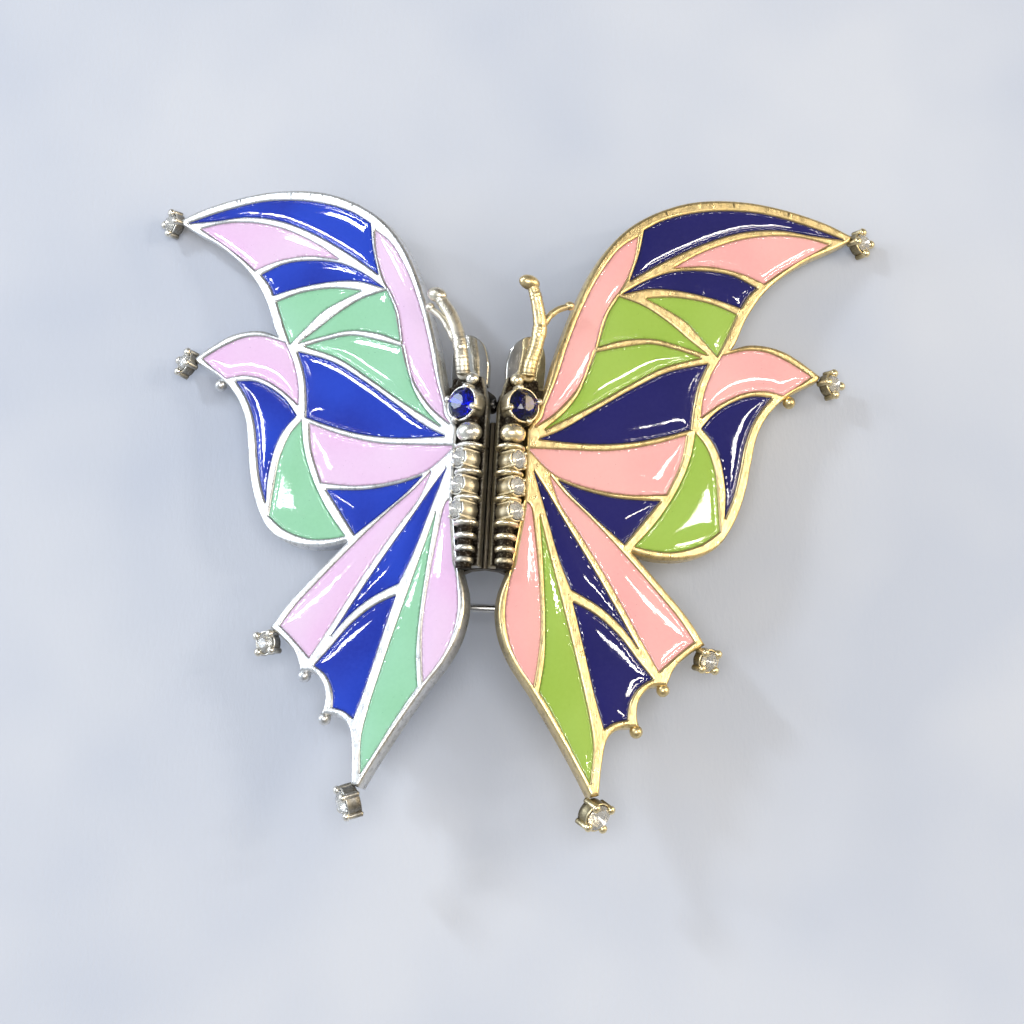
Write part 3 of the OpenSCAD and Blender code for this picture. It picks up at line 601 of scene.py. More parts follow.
GREEN = [
    [[[16.2, 26.3], [19.5, 26.9], [23.5, 26.8], [26.7, 26]], [[26.7, 26], [25.6, 23.2], [24.6, 20.9]], [[24.6, 20.9], [23, 22.4], [20.4, 24.6], [16.2, 26.3]]],
    [[[13, 26], [16, 25.3], [18.8, 23.9], [21.2, 22.3], [23.4, 20.9]], [[23.4, 20.9], [20.6, 21.4], [17.2, 21.8], [13.8, 21.2], [10.9, 20]], [[10.9, 20], [11.6, 23.2], [13, 26]]],
    [[[10.5, 19.2], [13.4, 20.2], [16.8, 21.1], [19.8, 20.9], [22.6, 20.4]], [[22.6, 20.4], [18.4, 18.7], [14.6, 16.2], [10.4, 13.2], [5.4, 9.9]], [[5.4, 9.9], [7.6, 12.2], [9.2, 14.9], [10.5, 19.2]]],
    [[[22.4, 11.7], [23.8, 10.1], [24.8, 7.4], [25.2, 4.2], [25.5, 1.1]], [[25.5, 1.1], [23.4, -0.6], [20.6, -1.7], [18.2, -1.9], [16, -1.7]], [[16, -1.7], [18.5, 1.5], [20.6, 5.2], [21.9, 8.7], [22.4, 11.7]]],
    [[[5.3, 0.2], [6.3, -3], [7.6, -7], [9, -11.4], [10.4, -16], [11.6, -20.2], [12.3, -23.8], [12.1, -27.4]], [[12.1, -27.4], [10.3, -24.6], [8.3, -21.4], [6.2, -18.4]], [[6.2, -18.4], [6.6, -15], [6.5, -11], [6.2, -7.4], [5.8, -3.6], [5.3, 0.2]]],
]
outline = loop(OUT, STEP)
cells = {"blue": [loop(c, STEP) for c in BLUE], "pink": [loop(c, STEP) for c in PINK], "green": [loop(c, STEP) for c in GREEN]}
all_cells = cells["blue"] + cells["pink"] + cells["green"]


def strip(p, base, dirs, prof, patina_shade=None, flip=False, ripple=0.0):
    """Rows of the loop shifted by d and dropped to z for each (d, z) of prof, joined by quads."""
    n = len(base)
    v, f, c = [], [], []
    for j, (d, z) in enumerate(prof):
        q = base + dirs * d
        zz = np.full(n, z)
        if ripple and 0 < j < len(prof) - 1:
            zz = zz - ripple * (0.5 + 0.5 * wobble(base, 0.11, 3.0 + j * 0.4))
        v.append(np.c_[q, zz])
        c.append(np.full(n, 0.0 if patina_shade is None else patina_shade[j]))
    for j in range(len(prof) - 1):
        for i in range(n):
            i2 = (i + 1) % n
            quad = (j * n + i, j * n + i2, (j + 1) * n + i2, (j + 1) * n + i)
            f.append(tuple(reversed(quad)) if flip else quad)
    p.add(np.vstack(v), f, np.concatenate(c))
    return base + dirs * prof[-1][0]


def quarter(b, n=5):
    return [(b * (1 - math.cos(t)), -b + b * math.sin(t)) for t in np.linspace(0, math.pi / 2, n)]


def wing_metal():
    p = Parts()
    nb = 6
    base, dirs = expand(outline, -1)
    b = 0.36
    prof = [(0.12, BACK_W), (0.0, BACK_W + 0.12)] + quarter(b, nb)
    top = [strip(p, base, dirs, prof, flip=False, ripple=0.012)]
    back = base + dirs * 0.12
    for c in all_cells:
        cb, cd = expand(c, 1)
        prof = [(0.0, -WELL), (0.0, -0.5)] + quarter(0.25, nb)
        # Cell walls and floors darker towards the bottom: antique patina and painted shade in the hollows
        top.append(strip(p, cb, cd, prof, patina_shade=[0.9, 0.9] + [max(0.0, 0.5 - 0.8 * i / (nb - 1)) for i in range(nb)], flip=True, ripple=0.02))
        v2, t = triangulate([c])
        t = ccw(v2, t)
        cen = np.array([v2[list(q)].mean(0) for q in t])
        keep = inside(cen, c)
        p.add(np.c_[v2, np.full(len(v2), -WELL)], [q for q, k in zip(t, keep) if k], 0.9)
    v2, t = triangulate(top)
    t = ccw(v2, t)
    cen = np.array([v2[list(q)].mean(0) for q in t])
    keep = inside(cen, top[0])
    for lp in top[1:]:
        keep &= ~inside(cen, lp)
    p.add(np.c_[v2, 0.012 * wobble(v2, 0.5, 1.0) - 0.012], [q for q, k in zip(t, keep) if k], 0.0)
    v2, t = triangulate([back])
    t = ccw(v2, t)
    cen = np.array([v2[list(q)].mean(0) for q in t])
    keep = inside(cen, back)
    p.add(np.c_[v2, np.full(len(v2), BACK_W)], [tuple(reversed(q)) for q, k in zip(t, keep) if k], 0.12)
    # Beads darker towards their undersides: painted shade
    for x, y, r in ((19.9, -16.8, 0.7), (17.1, -21.5, 0.7), (33.4, 16.9, 0.7)):
        v, f, c = ball(r, seg=28)
        p.add(v + np.array([x, y, -0.65]), f, np.clip(-v[:, 2] / r, 0, 1) * 0.8)
    return p


def enamel_pool(p, c, seed):
    lo, hi = c.min(0), c.max(0)
    pts = []
    for g, a, b in (((0.45, 0.16, 0.7), (0, 0), (0, 0)), ((0.9, 0.7, 99.0), (0, 0), (0, 0))):
        step = g[0] * 0.5
        xs, ys = np.meshgrid(np.arange(lo[0], hi[0], step), np.arange(lo[1], hi[1], step))
        q = np.c_[xs.ravel(), ys.ravel()]
        q[:, 0] += (np.round((q[:, 1] - lo[1]) / step) % 2) * step * 0.5
        q = q[inside(q, c)]
        if len(q):
            d = poly_dist(q, c)
            q = q[(d > (g[1] if g[1] > 0.2 else 0.1)) & (d < g[2])]
            pts.append(q)
    ex = np.vstack(pts) if pts else None
    v2, t = triangulate([c], ex)
    t = ccw(v2, t)
    cen = np.array([v2[list(q)].mean(0) for q in t])
    t = [q for q, k in zip(t, inside(cen, c)) if k]
    d = poly_dist(v2, c)
    z = -0.13 - 0.09 * (1 - np.exp(-d / 0.10)) + 0.17 * (1 - np.exp(-np.maximum(0, d - 0.12) / 0.75)) + 0.006 * wobble(v2, 1.9, seed)
    # Darkening value strongest at the cell walls, for painted shade in the crease beside the ribs
    p.add(np.c_[v2, z], t, np.exp(-d / 0.09))
    n = len(c)
    zt = z[:n]
    p.add(np.vstack([np.c_[c, zt], np.c_[c, np.full(n, -WELL + 0.02)]]), [(i, n + i, n + (i + 1) % n, (i + 1) % n) for i in range(n)], 0.5)
    v2, t = triangulate([c])
    t = ccw(v2, t)
    cen = np.array([v2[list(q)].mean(0) for q in t])
    p.add(np.c_[v2, np.full(len(v2), -WELL + 0.02)], [tuple(reversed(q)) for q, k in zip(t, inside(cen, c)) if k], 0.5)


WING = wing_metal()
POOLS = {}
for kind in ("blue", "pink", "green"):
    POOLS[kind] = Parts()
    for i, c in enumerate(cells[kind]):
        enamel_pool(POOLS[kind], c, 2.0 * i + len(kind))

# ---------------------------------------------------------------- body, head, antennae, settings
BODY_U = 1.6
STONE_V = [5.7, 2.8, 0.1]
RINGS = [(7.15, 1.6), (4.3, 1.55), (1.45, 1.5), (-1.2, 1.35), (-2.6, 1.2), (-3.95, 1.1), (-5.2, 1.0)]
TIPS = {
    1: [(41.9, 37, 1.1, 30, 10), (38.6, 19.7, 1.1, 32, 5), (24.9, -13.2, 1.1, 28, -45), (13.3, -30.9, 1.4, 42, -50)],
    -1: [(41.9, 37.3, 1.1, 30, 5), (38.4, 20, 1.1, 34, 25), (24.9, -13.1, 1.1, 14, -50), (14, -30.5, 1.4, 58, -25)],
}


def body_parts():
    p = Parts()
    poly = np.array([[0.35, -5.6], [2.55, -5.6], [3.4, 1], [3.4, 9.6], [4.2, 11], [4.85, 13], [4.6, 15.4], [1.2, 15.4], [0.35, 12]], float)
    poly = resample(np.vstack([poly, poly[:1]]), 0.3)[:-1]
    b, d = expand(poly, -1)
    prof = [(0.08, BACK_W), (0, BACK_W + 0.08), (0, -1.0), (0.05, -0.87), (0.2, -0.8)]
    # Plate darker towards its top face, under the column: painted shade with some patina
    top = strip(p, b, d, prof, patina_shade=[0.2, 0.2, 0.5, 0.8, 1.0])
    for lp, z, rev in ((top, -0.8, False), (b + d * 0.08, BACK_W, True)):
        v2, t = triangulate([lp])
        t = ccw(v2, t)
        cen = np.array([v2[list(q)].mean(0) for q in t])
        t = [q for q, k in zip(t, inside(cen, lp)) if k]
        p.add(np.c_[v2, np.full(len(v2), z)], [tuple(reversed(q)) for q in t] if rev else t, 0.2 if rev else 1.0)
    # column with its rings, turned about the body's axis
    hs = np.arange(-6, 10.5, 0.06)
    r = np.full(len(hs), 0.84)
    for v0, rr in RINGS:
        k = np.abs(hs - v0) / 0.33
        bump = np.where(k < 1, np.sqrt(np.clip(1 - k ** 2.6, 0, 1)), 0)
        r = np.maximum(r, 0.84 + (rr - 0.84) * bump)
    # Column darker in the grooves between the rings: antique patina and painted shade
    patina_shade = np.clip((1.12 - r) / 0.26, 0, 1)
    v, f, c = lathe([(0, -6.0)] + list(zip(r, hs)) + [(0, 10.44)], 48, [1] + list(patina_shade) + [1])
    v = v * np.array([1, 1, 1])
    p.add(xf(v, Matrix.Translation((BODY_U, 0, 0)) @ ALONG_V), f, c)
    # round bead under the head, and the crown ball behind it, both darker on their undersides: painted shade
    v, f, c = ball(1.25, (1.12, 0.92, 1), seg=40)
    p.add(v + np.array([BODY_U + 0.1, 8.75, 0.3]), f, np.clip(-v[:, 2] / 0.9, 0, 1))
    v, f, c = ball(0.75, seg=28)
    p.add(v + np.array([2.1, 15.0, -0.5]), f, np.clip(-v[:, 2] / 0.6, 0, 1))
    return p


def cup_into(p, mat, r, deep, wall, prongs=4, twist=45.0, prong_r=0.26, ball_r=0.3, rise=0.1, barrel=0.05, dark=False):
    """Bezel cup with its stone's girdle at height 0 in mat's frame, with claws."""
    ro = r + wall
    out = [(0, -deep), (ro * 0.86, -deep), (ro * 0.95, -deep + 0.08), (ro + barrel * 0.6, -deep * 0.6), (ro + barrel, -deep * 0.42), (ro, -0.22), (ro + 0.02, -0.14), (ro - 0.02, -0.07), (ro - 0.08, -0.04),
           (r + 0.05, -0.05), (r + 0.02, -0.1), (r * 0.8, -0.35 * r), (0.3 * r, -0.78 * r), (0, -0.8 * r)]
    # Darker inside the cup and towards its foot, more so with dark=True, and claws darker towards the bottom: antique
    # patina and painted shade
    patina_shade = [0.9, 0.9, 0.8, 0.66, 0.62, 0.6, 0.25, 0, 0, 0.1, 0.6, 1, 1, 1] if dark else [0.6, 0.7, 0.55, 0.15, 0.1, 0.35, 0.1, 0, 0, 0.1, 0.6, 1, 1, 1]
    v, f, c = lathe(out, 40, patina_shade)
    p.add(xf(v, mat), f, c)
    for k in range(prongs):
        a = math.radians(twist + 360 / prongs * k)
        rad = ro + 0.02
        pts = [(rad * math.cos(a), rad * math.sin(a), -deep + 0.05), (rad * math.cos(a), rad * math.sin(a), -0.1), ((rad - 0.05) * math.cos(a), (rad - 0.05) * math.sin(a), rise * r)]
        path = catmull(pts, 5) + [np.array(pts[-1])]
        v, f = tube(path, np.full(len(path), prong_r), 14)
        p.add(xf(v, mat), f, np.clip(-np.asarray(v)[:, 2] / deep, 0.0, 0.6) if dark else 0.15)
        v, f, c = ball(ball_r, (1, 1, 0.85), 20)
        v = v + np.array([(rad - 0.1) * math.cos(a), (rad - 0.1) * math.sin(a), rise * r + 0.02])
        p.add(xf(v, mat), f, 0.0)


def stone_into(p, mat, r, spin=0.0, **kw):
    v, f, back = brilliant(r, **kw)
    p.add(xf(v, mat @ Matrix.Rotation(math.radians(spin), 4, "Z")), f, 0.0, back)


def at_body(v, up=0.0):
    return Matrix.Translation((BODY_U, v, 0)) @ Matrix.Rotation(math.radians(24), 4, "Y") @ Matrix.Translation((0, 0, up))


def at_eye(up=0.0):
    return Matrix.Translation((2.4, 11.95, -0.2)) @ Matrix.Rotation(math.radians(14), 4, "Y") @ Matrix.Translation((0, 0, up))


def at_tip(t, up=0.0):
    return frame_to((t[0], t[1], -0.35), t[3], t[4]) @ Matrix.Translation((0, 0, up))


def body_cups():
    p = Parts()
    for v in STONE_V:
        cup_into(p, at_body(v, 1.57), 0.95, 2.2, 0.2, prongs=4, twist=45, prong_r=0.13, ball_r=0.2, rise=0.11, barrel=0.04)
    return p


def body_stones():
    p = Parts()
    for i, v in enumerate(STONE_V):
        stone_into(p, at_body(v, 1.59), 0.95, 11 + 17 * i, table=0.52, crown=0.42, pav=0.62)
    return p


def eye_cup():
    p = Parts()
    r = 1.7
    ro = r + 0.26
    out = [(0, -1.0), (ro * 0.9, -1.0), (ro * 0.98, -0.92), (ro, -0.5), (ro, 0.2), (ro + 0.03, 0.45), (ro, 0.8), (ro - 0.03, 0.95), (ro - 0.1, 1.0), (r + 0.06, 1.0), (r + 0.02, 0.94), (r * 0.8, 0.5), (r * 0.4, 0.12), (0, 0.08)]
    # Collet darker at its foot and inside: antique patina and painted shade
    v, f, c = lathe(out, 64, [1, 1, 0.9, 0.6, 0.35, 0.15, 0.05, 0, 0, 0.1, 0.8, 1, 1, 1])
    # shallow flutes around the collar
    rad = np.hypot(v[:, 0], v[:, 1])
    ang = np.arctan2(v[:, 1], v[:, 0])
    k = 1 - 0.022 * (0.5 + 0.5 * np.cos(16 * ang)) * (rad > r + 0.2) * (v[:, 2] < 0.8)
    v[:, 0] *= k
    v[:, 1] *= k
    p.add(xf(v, at_eye()), f, c)
    for i in range(4):
        a = math.radians(20 + 90 * i)
        q = [((ro + 0.02) * math.cos(a), (ro + 0.02) * math.sin(a), 0.0), ((ro + 0.03) * math.cos(a), (ro + 0.03) * math.sin(a), 0.8), ((ro - 0.08) * math.cos(a), (ro - 0.08) * math.sin(a), 1.25)]
        path = catmull(q, 5) + [np.array(q[-1])]
        v, f = tube(path, np.full(len(path), 0.26), 16)
        p.add(xf(v, at_eye()), f, 0.2)
        v, f, c = ball(0.36, (1, 1, 0.85), 22)
        p.add(xf(v + np.array([(ro - 0.12) * math.cos(a), (ro - 0.12) * math.sin(a), 1.24]), at_eye()), f, 0.0)
    return p


def eye_gem():
    p = Parts()
    v, f, back = brilliant(1.7, table=0.50, crown=0.42, pav=0.50)
    p.add(xf(v, at_eye(1.08) @ Matrix.Rotation(math.radians(12), 4, "Z")), f, 0.0, back)
    return p


FEELER = {
    1: ([(3.3, 15.7, -0.35), (3.35, 17, 0.05), (3.8, 19, 0.35), (4, 21, 0.6), (3.6, 23, 0.85), (3.05, 24.7, 1.05), (2.7, 25.4, 1.1)], (2.42, 25.62, 1.1), [(4.05, 20.4, 0.55), (4.7, 21.9, 0.72), (5.7, 23.0, 0.84), (6.9, 23.6, 0.95)], (7.1, 23.7, 0.95), -12),
    -1: ([(3.2, 15.7, -0.35), (3.22, 17.2, 0.1), (3.6, 19.5, 0.35), (4.45, 21.9, 0.65), (5.25, 23.2, 0.9), (5.8, 24, 1.05), (6.0, 24.3, 1.1)], (6.15, 24.4, 1.1), [(3.45, 18.4, 0.22), (4.35, 19.8, 0.46), (5.45, 21.7, 0.75), (6.75, 22.85, 0.92)], (7, 23.1, 0.95), 20),
}


def antenna(side):
    p = Parts()
    main, end, br, br_end, turn = FEELER[side]
    path = np.array(catmull(main, 16) + [np.array(main[-1])])
    s = np.r_[0, np.cumsum(np.linalg.norm(np.diff(path, axis=0), axis=1))]
    fork = 4.9 if side == 1 else 3.2
    rad = np.interp(s, [0, 3.5, 5.2, 7, 9.8], [0.76, 0.74, 0.75, 0.70, 0.60])
    rid = (0.006 * np.sin(s * 23) + 0.008 * np.sin(s * 14.3 + 1)) * (s < 4.4) + 0.08 * np.exp(-((s - fork + 0.35) / 0.13) ** 2) + 0.08 * np.exp(-((s - fork) / 0.13) ** 2) + 0.07 * np.exp(-((s - fork - 0.36) / 0.13) ** 2) + 0.05 * np.exp(-((s - 8.6) / 0.1) ** 2) + 0.05 * np.exp(-((s - 8.95) / 0.1) ** 2)
    v, f = tube(path, rad, 28, rid)
    # Darker in the twist grooves and at the root by the body: antique patina and painted shade
    patina_shade = np.clip(0.05 - rid * 40, 0, 0.8) * (s < 5.8) + 0.35 * np.exp(-(s / 0.6) ** 2)
    p.add(v, f, np.r_[np.repeat(np.clip(patina_shade, 0, 1), 28), 0.4, 0.2])
    path = np.array(catmull(br, 12) + [np.array(br[-1])])
    rr = np.linspace(0.42, 0.34, len(path)) + 0.035 * np.sin(np.linspace(0, 26, len(path))) * (np.linspace(1, 0, len(path)) > 0.45)
    v, f = tube(path, rr, 18)
    p.add(v, f, 0.18)
    v, f, c = ball(0.95, (1.22, 0.84, 0.88), 32)
    v = xf(v, Matrix.Rotation(math.radians(turn), 4, "Z")) + np.array(end)
    # End knob darker on its underside: painted shade
    p.add(v, f, np.clip(-v[:, 2] + end[2] - 0.2, 0, 0.6))
    v, f, c = ball(0.52, (1.05, 0.95, 0.9), 26)
    p.add(v + np.array(br_end), f, 0.05)
    v, f, c = lathe([(0, -0.8), (0.74, -0.8), (0.82, -0.6), (0.74, -0.35), (0.6, -0.3), (0, -0.3)], 28)
    p.add(v + np.array([main[0][0], main[0][1], 0]), f, 0.6)
    return p


def tip_cups(side):
    p = Parts()
    for t in TIPS[side]:
        cup_into(p, at_tip(t), t[2], 1.6 if t[2] > 1.2 else 1.25, 0.22, twist=0, prong_r=0.32, ball_r=0.48, rise=0.12, barrel=-0.1, dark=True)
    return p


def tip_gems(side):
    p = Parts()
    for i, t in enumerate(TIPS[side]):
        stone_into(p, at_tip(t, 0.03), t[2], 7 + 23 * i, table=0.5, crown=0.44, pav=0.62)
    return p


BUILT = {"body": body_parts(), "cups": body_cups(), "stones": body_stones(), "eyecup": eye_cup(), "eye": eye_gem()}


# ---------------------------------------------------------------- lever, bracket and spring behind each half
PLATE_W1 = BACK_W - 0.35
PLATE_W0 = PLATE_W1 - 0.8
FLAP_W1 = PLATE_W0 - 0.35
FLAP_W0 = FLAP_W1 - 0.8
HV, HW = 13.5, -5.0


def sheet_from(runs, w0, w1, edge=0.16, bend=None, step=0.3, patina_shade=0.0):
    """Plate with rounded edges cut to the closed outline, between w0 and w1, then bent by the function bend(points)."""
    lp = loop(runs, step)
    b, d = expand(lp, -1)
    n = 5
    prof = [(edge * (1 - math.sin(t)), w0 + edge * (1 - math.cos(t))) for t in np.linspace(0, math.pi / 2, n)]
    prof += [(edge * (1 - math.cos(t)), w1 - edge + edge * math.sin(t)) for t in np.linspace(0, math.pi / 2, n)]
    p = Parts()
    strip(p, b, d, prof, patina_shade=[patina_shade] * len(prof))
    inner = b + d * edge
    lo, hi = lp.min(0), lp.max(0)
    xs, ys = np.meshgrid(np.arange(lo[0], hi[0], 0.5), np.arange(lo[1], hi[1], 0.5))
    ex = np.c_[xs.ravel(), ys.ravel()]
    ex = ex[inside(ex, inner)]
    ex = ex[poly_dist(ex, inner) > 0.15] if len(ex) else ex
    v2, t = triangulate([inner], ex)
    t = ccw(v2, t)
    cen = np.array([v2[list(q)].mean(0) for q in t])
    t = [q for q, k in zip(t, inside(cen, inner)) if k]
    p.add(np.c_[v2, np.full(len(v2), w1)], t, patina_shade)
    p.add(np.c_[v2, np.full(len(v2), w0)], [tuple(reversed(q)) for q in t], patina_shade)
    if bend:
        p.v = [bend(v) for v in p.v]
    return p


def lever_parts():
    p = Parts()
    flap = [[[2.3, 12.6], [2.3, 11], [2.4, 8.5], [2.8, 4], [3.2, 0.5]], [[3.2, 0.5], [3.5, -1.6], [4.3, -3], [5.2, -3.3], [6.1, -3], [7, -1.6], [7.3, 0.5]], [[7.3, 0.5], [7.3, 9.2]], [[7.3, 9.2], [6.4, 11], [6.1, 12.6]], [[6.1, 12.6], [2.3, 12.6]]]
    q = sheet_from(flap, FLAP_W0, FLAP_W1, bend=lambda v: v)
    for a, c in zip(q.v, q.c):
        pass
    p.add(np.vstack(q.v), q.f, np.concatenate(q.c))
    tab = [[[1.8, 15.1], [1.7, 16.5], [1.7, 18], [2.2, 19.8], [3.2, 20.7], [4.1, 21], [5, 20.6], [5.8, 19.6], [6.1, 18], [6.1, 15.1]], [[6.1, 15.1], [1.8, 15.1]]]

    def arch(v):
        v = v.copy()
        s = v[:, 1] - 15.1
        v[:, 2] += s * math.tan(math.radians(6)) - 0.09 * (v[:, 0] - 3.9) ** 2 + 0.2 - 0.012 * np.maximum(0, s - 2.5) ** 2
        return v

    q = sheet_from(tab, FLAP_W0, FLAP_W1, bend=arch)
    p.add(np.vstack(q.v), q.f, np.concatenate(q.c))
    for k0, k1 in ((2.3, 3.3), (5.1, 6.1)):
        prof = [(0.56, 0), (0.94, 0), (1.0, 0.06), (1.0, k1 - k0 - 0.06), (0.94, k1 - k0), (0.56, k1 - k0), (0.56, 0)]
        v, f, c = lathe(prof, 40)
        p.add(xf(v, Matrix.Translation((k0, HV, HW)) @ Matrix.Rotation(math.radians(90), 4, "Y")), f, 0.0)
        web = [[[k0, 12.0], [k0, 15.4]], [[k0, 15.4], [k1, 15.4]], [[k1, 15.4], [k1, 12.0]], [[k1, 12.0], [k0, 12.0]]]
        q = sheet_from(web, FLAP_W0, FLAP_W1, edge=0.08)
        p.add(np.vstack(q.v), q.f, np.concatenate(q.c))
    return p


def bracket_parts():
    p = Parts()
    q = sheet_from([[[1.5, 12.3], [6.9, 12.3]], [[6.9, 12.3], [6.9, 14.7]], [[6.9, 14.7], [1.5, 14.7]], [[1.5, 14.7], [1.5, 12.3]]], BACK_W - 0.4, BACK_W, edge=0.08)
    p.add(np.vstack(q.v), q.f, np.concatenate(q.c))
    for l0, l1 in ((1.5, 2.2), (6.2, 6.9)):
        # ear: a plate with a round lower end, drawn in the v-w plane and set on edge
        half = [[BACK_W, HV - 1.05], [HW, HV - 1.05]]
        arc = [[HW - 1.05 * math.sin(t), HV - 1.05 * math.cos(t)] for t in np.linspace(0, math.pi, 17)]
        pts = [[BACK_W, HV - 1.05]] + arc + [[BACK_W, HV + 1.05]]
        lp = np.array([[b_, a_] for a_, b_ in pts])
        lp = resample(np.vstack([lp, lp[:1]]), 0.2)[:-1]
        if area(lp) < 0:
            lp = lp[::-1].copy()
        b, d = expand(lp, -1)
        e = 0.07
        r = Parts()
        strip(r, b, d, [(e, l0), (0, l0 + e), (0, l1 - e), (e, l1)])
        inner = b + d * e
        v2, t = triangulate([inner])
        t = ccw(v2, t)
        cen = np.array([v2[list(q_)].mean(0) for q_ in t])
        t = [q_ for q_, k in zip(t, inside(cen, inner)) if k]
        r.add(np.c_[v2, np.full(len(v2), l1)], t)
        r.add(np.c_[v2, np.full(len(v2), l0)], [tuple(reversed(q_)) for q_ in t])
        vv = np.vstack(r.v)
        vv = np.c_[vv[:, 2], vv[:, 0], vv[:, 1]]
        p.add(vv, r.f, 0.1)
    return p


def spring_parts():
    p = Parts()
    turns, r = 3.6, 0.78
    n = int(turns * 26)
    a = np.linspace(0, 2 * math.pi * turns, n)
    x = np.linspace(3.62, 4.76, n)
    coil = np.c_[x, HV + r * np.sin(a), HW + r * np.cos(a)]
    leg1 = np.array([[3.62, HV + 0.1 + 1.5 * k, HW + 0.78 + 0.95 * k] for k in (1.0, 0.66, 0.33)])
    end = coil[-1]
    leg2 = np.array([end + np.array([0.0, 0.45 * k, 0.35 * k]) for k in (0.8, 1.6, 2.4)])
    path = np.vstack([leg1, coil, leg2])
    v, f = tube(path, np.full(len(path), 0.17), 12)
    p.add(v, f, 0.0)
    return p


BUILT["lever"], BUILT["bracket"], BUILT["spring"] = lever_parts(), bracket_parts(), spring_parts()

# ---------------------------------------------------------------- put both halves together
for side, word in ((-1, "left"), (1, "right")):
    body = f"{word}_clip"
    cast = M[side]["cast"]

    def put(parts, name, mats, slot, *nodes, on=body, smooth=True, weld=0.0):
        o = parts.build(f"{word}_{name}", side, mats, smooth, weld)
        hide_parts(*[f"{word}_{n}" for n in nodes])
        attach(o, on)
        return o

    put(WING, "wing_casting_skin", [cast], "cast_metal", "wing_casting", weld=0.0005)
    for kind in ("blue", "pink", "green"):
        put(POOLS[kind], f"enamel_{kind}_pools", [M[side][kind]], f"enamel_{kind}", f"enamel_{kind}", weld=0.0005)
    put(BUILT["body"], "body_column", [M[side]["body"]], "cast_metal", "body_casting")
    put(BUILT["cups"], "body_cups", [M[side]["body"]], "cast_metal", "body_settings")
    put(BUILT["stones"], "body_gems", [CLEAR, SILVER_FOIL], "clear_stone", "body_stones", smooth=False)
    put(BUILT["eyecup"], "eye_cup", [M[side]["body"]], "cast_metal", "eye_collet")
    put(BUILT["eye"], "eye_gem", [M[side]["eye"], BLUE_FOIL], "blue_stone", "eye_stone", smooth=False)
    put(antenna(side), "forked_antenna", [M[side]["ant"]], "cast_metal", "antenna")
    put(tip_cups(side), "tip_cups", [M[side]["tip"]], "cast_metal", "tip_settings")
    put(tip_gems(side), "tip_gems", [CLEAR, SILVER_FOIL], "clear_stone", "tip_stones", smooth=False)
    put(BUILT["lever"], "lever_sheet", [LEVER], "lever_metal", "lever", on=f"{word}_clip_lever")
    put(BUILT["bracket"], "bracket_ears", [FRAME_METAL_SHADED], "frame_metal", "hinge_bracket")
    put(BUILT["spring"], "spring_coil", [BRONZE], "spring_wire", "lever_spring")


def finish_cad(node, mat, bevel=0.06):
    """A CAD node shown as it is, with small broken edges and a finish."""
    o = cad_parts[node]
    o.data.materials.clear()
    o.data.materials.append(mat)
    if bevel:
        w = o.modifiers.new("weld", "WELD")
        w.merge_threshold = 1e-6
        d = o.modifiers.new("flat", "DECIMATE")
        d.decimate_type = "DISSOLVE"
        d.angle_limit = math.radians(1.5)
        b = o.modifiers.new("edge", "BEVEL")
        b.width = bevel * MM
        b.segments = 3
        b.limit_method = "ANGLE"
        b.angle_limit = math.radians(40)
        b.harden_normals = False
    for poly in o.data.polygons:
        poly.use_smooth = True
    n = o.modifiers.new("normals", "WEIGHTED_NORMAL")
    n.keep_sharp = True
    return o


for node in ("frame_plate", "pin_joint", "catch_housing"):
    finish_cad(node, FRAME_METAL_SHADED)
finish_cad("catch_roller", LEVER, 0.04)
for node in ("pin_rivet", "pin_stem", "left_hinge_pin", "right_hinge_pin"):
    finish_cad(node, STEEL, 0.03)

# ---------------------------------------------------------------- stage, camera and lights
sc = bpy.context.scene
fm, fnt, fb = nodes_of("pale_floor")
fg = G(fnt)
weave = fg.noise(2.2, 3, 0.6, fg.mapped((0, 0, 0.6), (1.0, 0.35, 1)))
fg.link(fg.mix(fg.range(fg.noise(0.03, 2), 0.35, 0.65, 0, 1), lin(198, 203, 214), lin(186, 193, 208)), fb.inputs["Base Color"])
fb.inputs["Roughness"].default_value = 0.75
fg.link(fg.bump(weave, 0.25, 0.15), fb.inputs["Normal"])
bpy.ops.mesh.primitive_plane_add(size=3.0, location=(0, 0, -0.00002))
floor = bpy.context.active_object
floor.name = "floor"
floor.data.materials.append(fm)

pitch, yaw, roll = math.radians(-15.0), math.radians(-4.7), math.radians(-2.0)
R = Matrix.Rotation(roll, 3, "Z") @ Matrix.Rotation(yaw, 3, "Y") @ Matrix.Rotation(pitch, 3, "X")
cam_data = bpy.data.cameras.new("camera")
cam_data.sensor_width = 36
cam_data.lens = 36 * 9.54 * 250 / 1024
cam_data.shift_x = (512 - 486.3) / 1024
cam_data.shift_y = 0.0
cam_data.clip_start = 0.01
cam = bpy.data.objects.new("camera", cam_data)
pivot = Vector((0, MID_Y, BASE_Z)) * MM
back_to = R.transposed()
cam.matrix_world = Matrix.Translation(pivot + back_to @ Vector((0, 0, 0.25))) @ back_to.to_4x4()
sc.collection.objects.link(cam)
sc.camera = cam


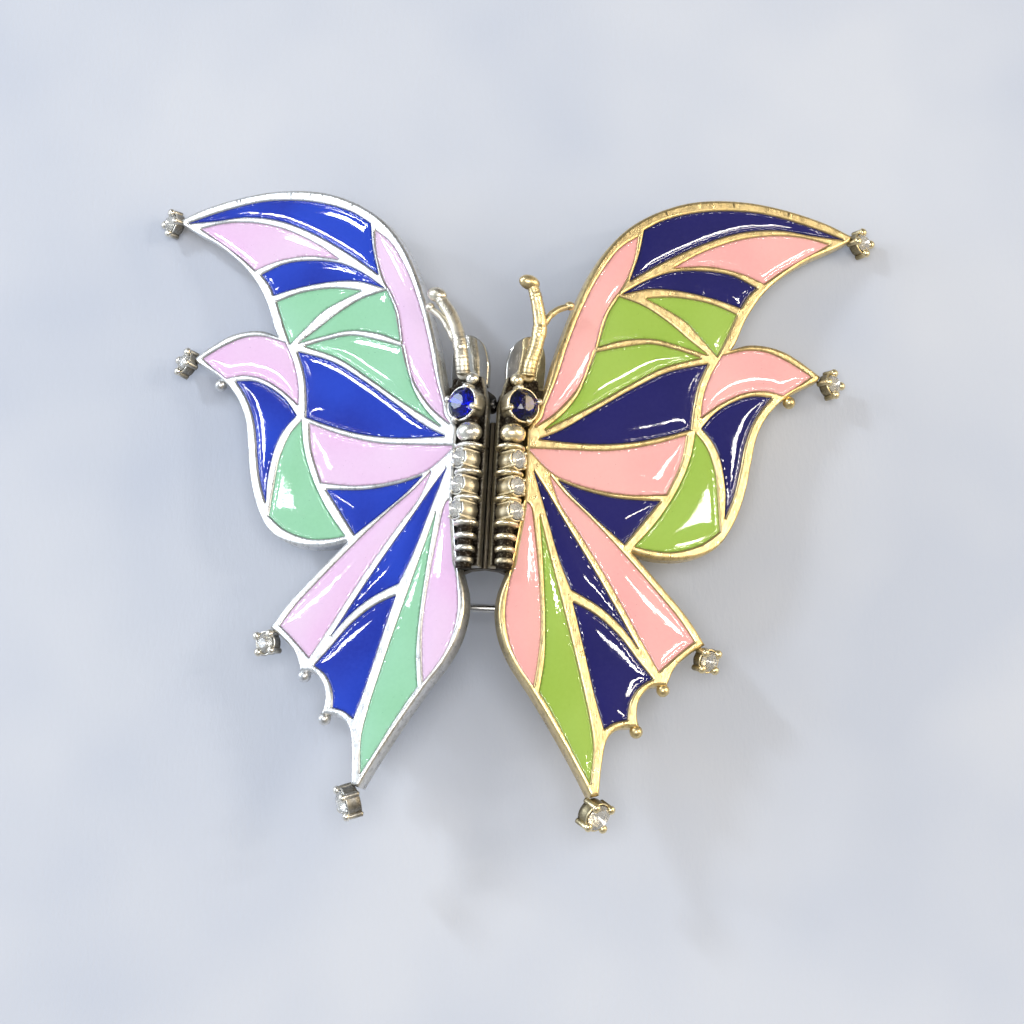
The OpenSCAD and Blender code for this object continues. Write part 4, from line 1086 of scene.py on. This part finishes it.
def area_light(name, pos, size, power, colour, aim=(0, 0, 0.012), shape="RECTANGLE"):
    d = bpy.data.lights.new(name, "AREA")
    d.shape = shape
    d.size, d.size_y = size
    d.energy = power
    d.color = colour
    o = bpy.data.objects.new(name, d)
    o.location = pos
    o.rotation_euler = (Vector(aim) - Vector(pos)).to_track_quat("-Z", "Y").to_euler()
    sc.collection.objects.link(o)
    return o


area_light("top_softbox", (0.03, -0.10, 0.55), (0.30, 0.20), 1.55, (1.0, 0.98, 0.95))
area_light("cool_side", (-0.55, 0.06, 0.17), (0.30, 0.14), 1.1, (0.76, 0.86, 1.0))
area_light("warm_side", (0.55, 0.06, 0.20), (0.30, 0.14), 1.2, (1.0, 0.80, 0.52))
area_light("left_window", (-0.34, 0.27, 0.35), (0.030, 0.09), 0.65, (0.86, 0.93, 1.0))
area_light("right_window", (0.40, 0.03, 0.37), (0.014, 0.07), 0.26, (1.0, 0.93, 0.80))
area_light("right_slit", (0.393, 0.144, 0.379), (0.008, 0.10), 0.26, (1.0, 0.95, 0.86))
area_light("left_slit", (-0.4545, 0.141, 0.303), (0.008, 0.10), 0.26, (0.90, 0.95, 1.0))

w = bpy.data.worlds.new("world")
sc.world = w
w.use_nodes = True
nt = w.node_tree
nt.nodes.clear()
wo = nt.nodes.new("ShaderNodeOutputWorld")
bg = nt.nodes.new("ShaderNodeBackground")
tc = nt.nodes.new("ShaderNodeTexCoord")
sep = nt.nodes.new("ShaderNodeSeparateXYZ")
rp = nt.nodes.new("ShaderNodeValToRGB")
mr = nt.nodes.new("ShaderNodeMapRange")
nt.links.new(tc.outputs["Generated"], sep.inputs[0])
nt.links.new(sep.outputs["X"], mr.inputs[0])
mr.inputs[1].default_value, mr.inputs[2].default_value = -1.0, 1.0
e = rp.color_ramp.elements
e[0].position, e[0].color = 0.0, (1.15, 1.25, 1.35, 1)
e[1].position, e[1].color = 1.0, (1.05, 0.92, 0.68, 1)
x = e.new(0.5)
x.color = (0.34, 0.34, 0.36, 1)
nt.links.new(mr.outputs[0], rp.inputs[0])
nt.links.new(rp.outputs[0], bg.inputs[0])
bg.inputs[1].default_value = 0.55
sc.view_settings.view_transform = "Standard"
nt.links.new(bg.outputs[0], wo.inputs[0])

bpy.context.view_layer.update()
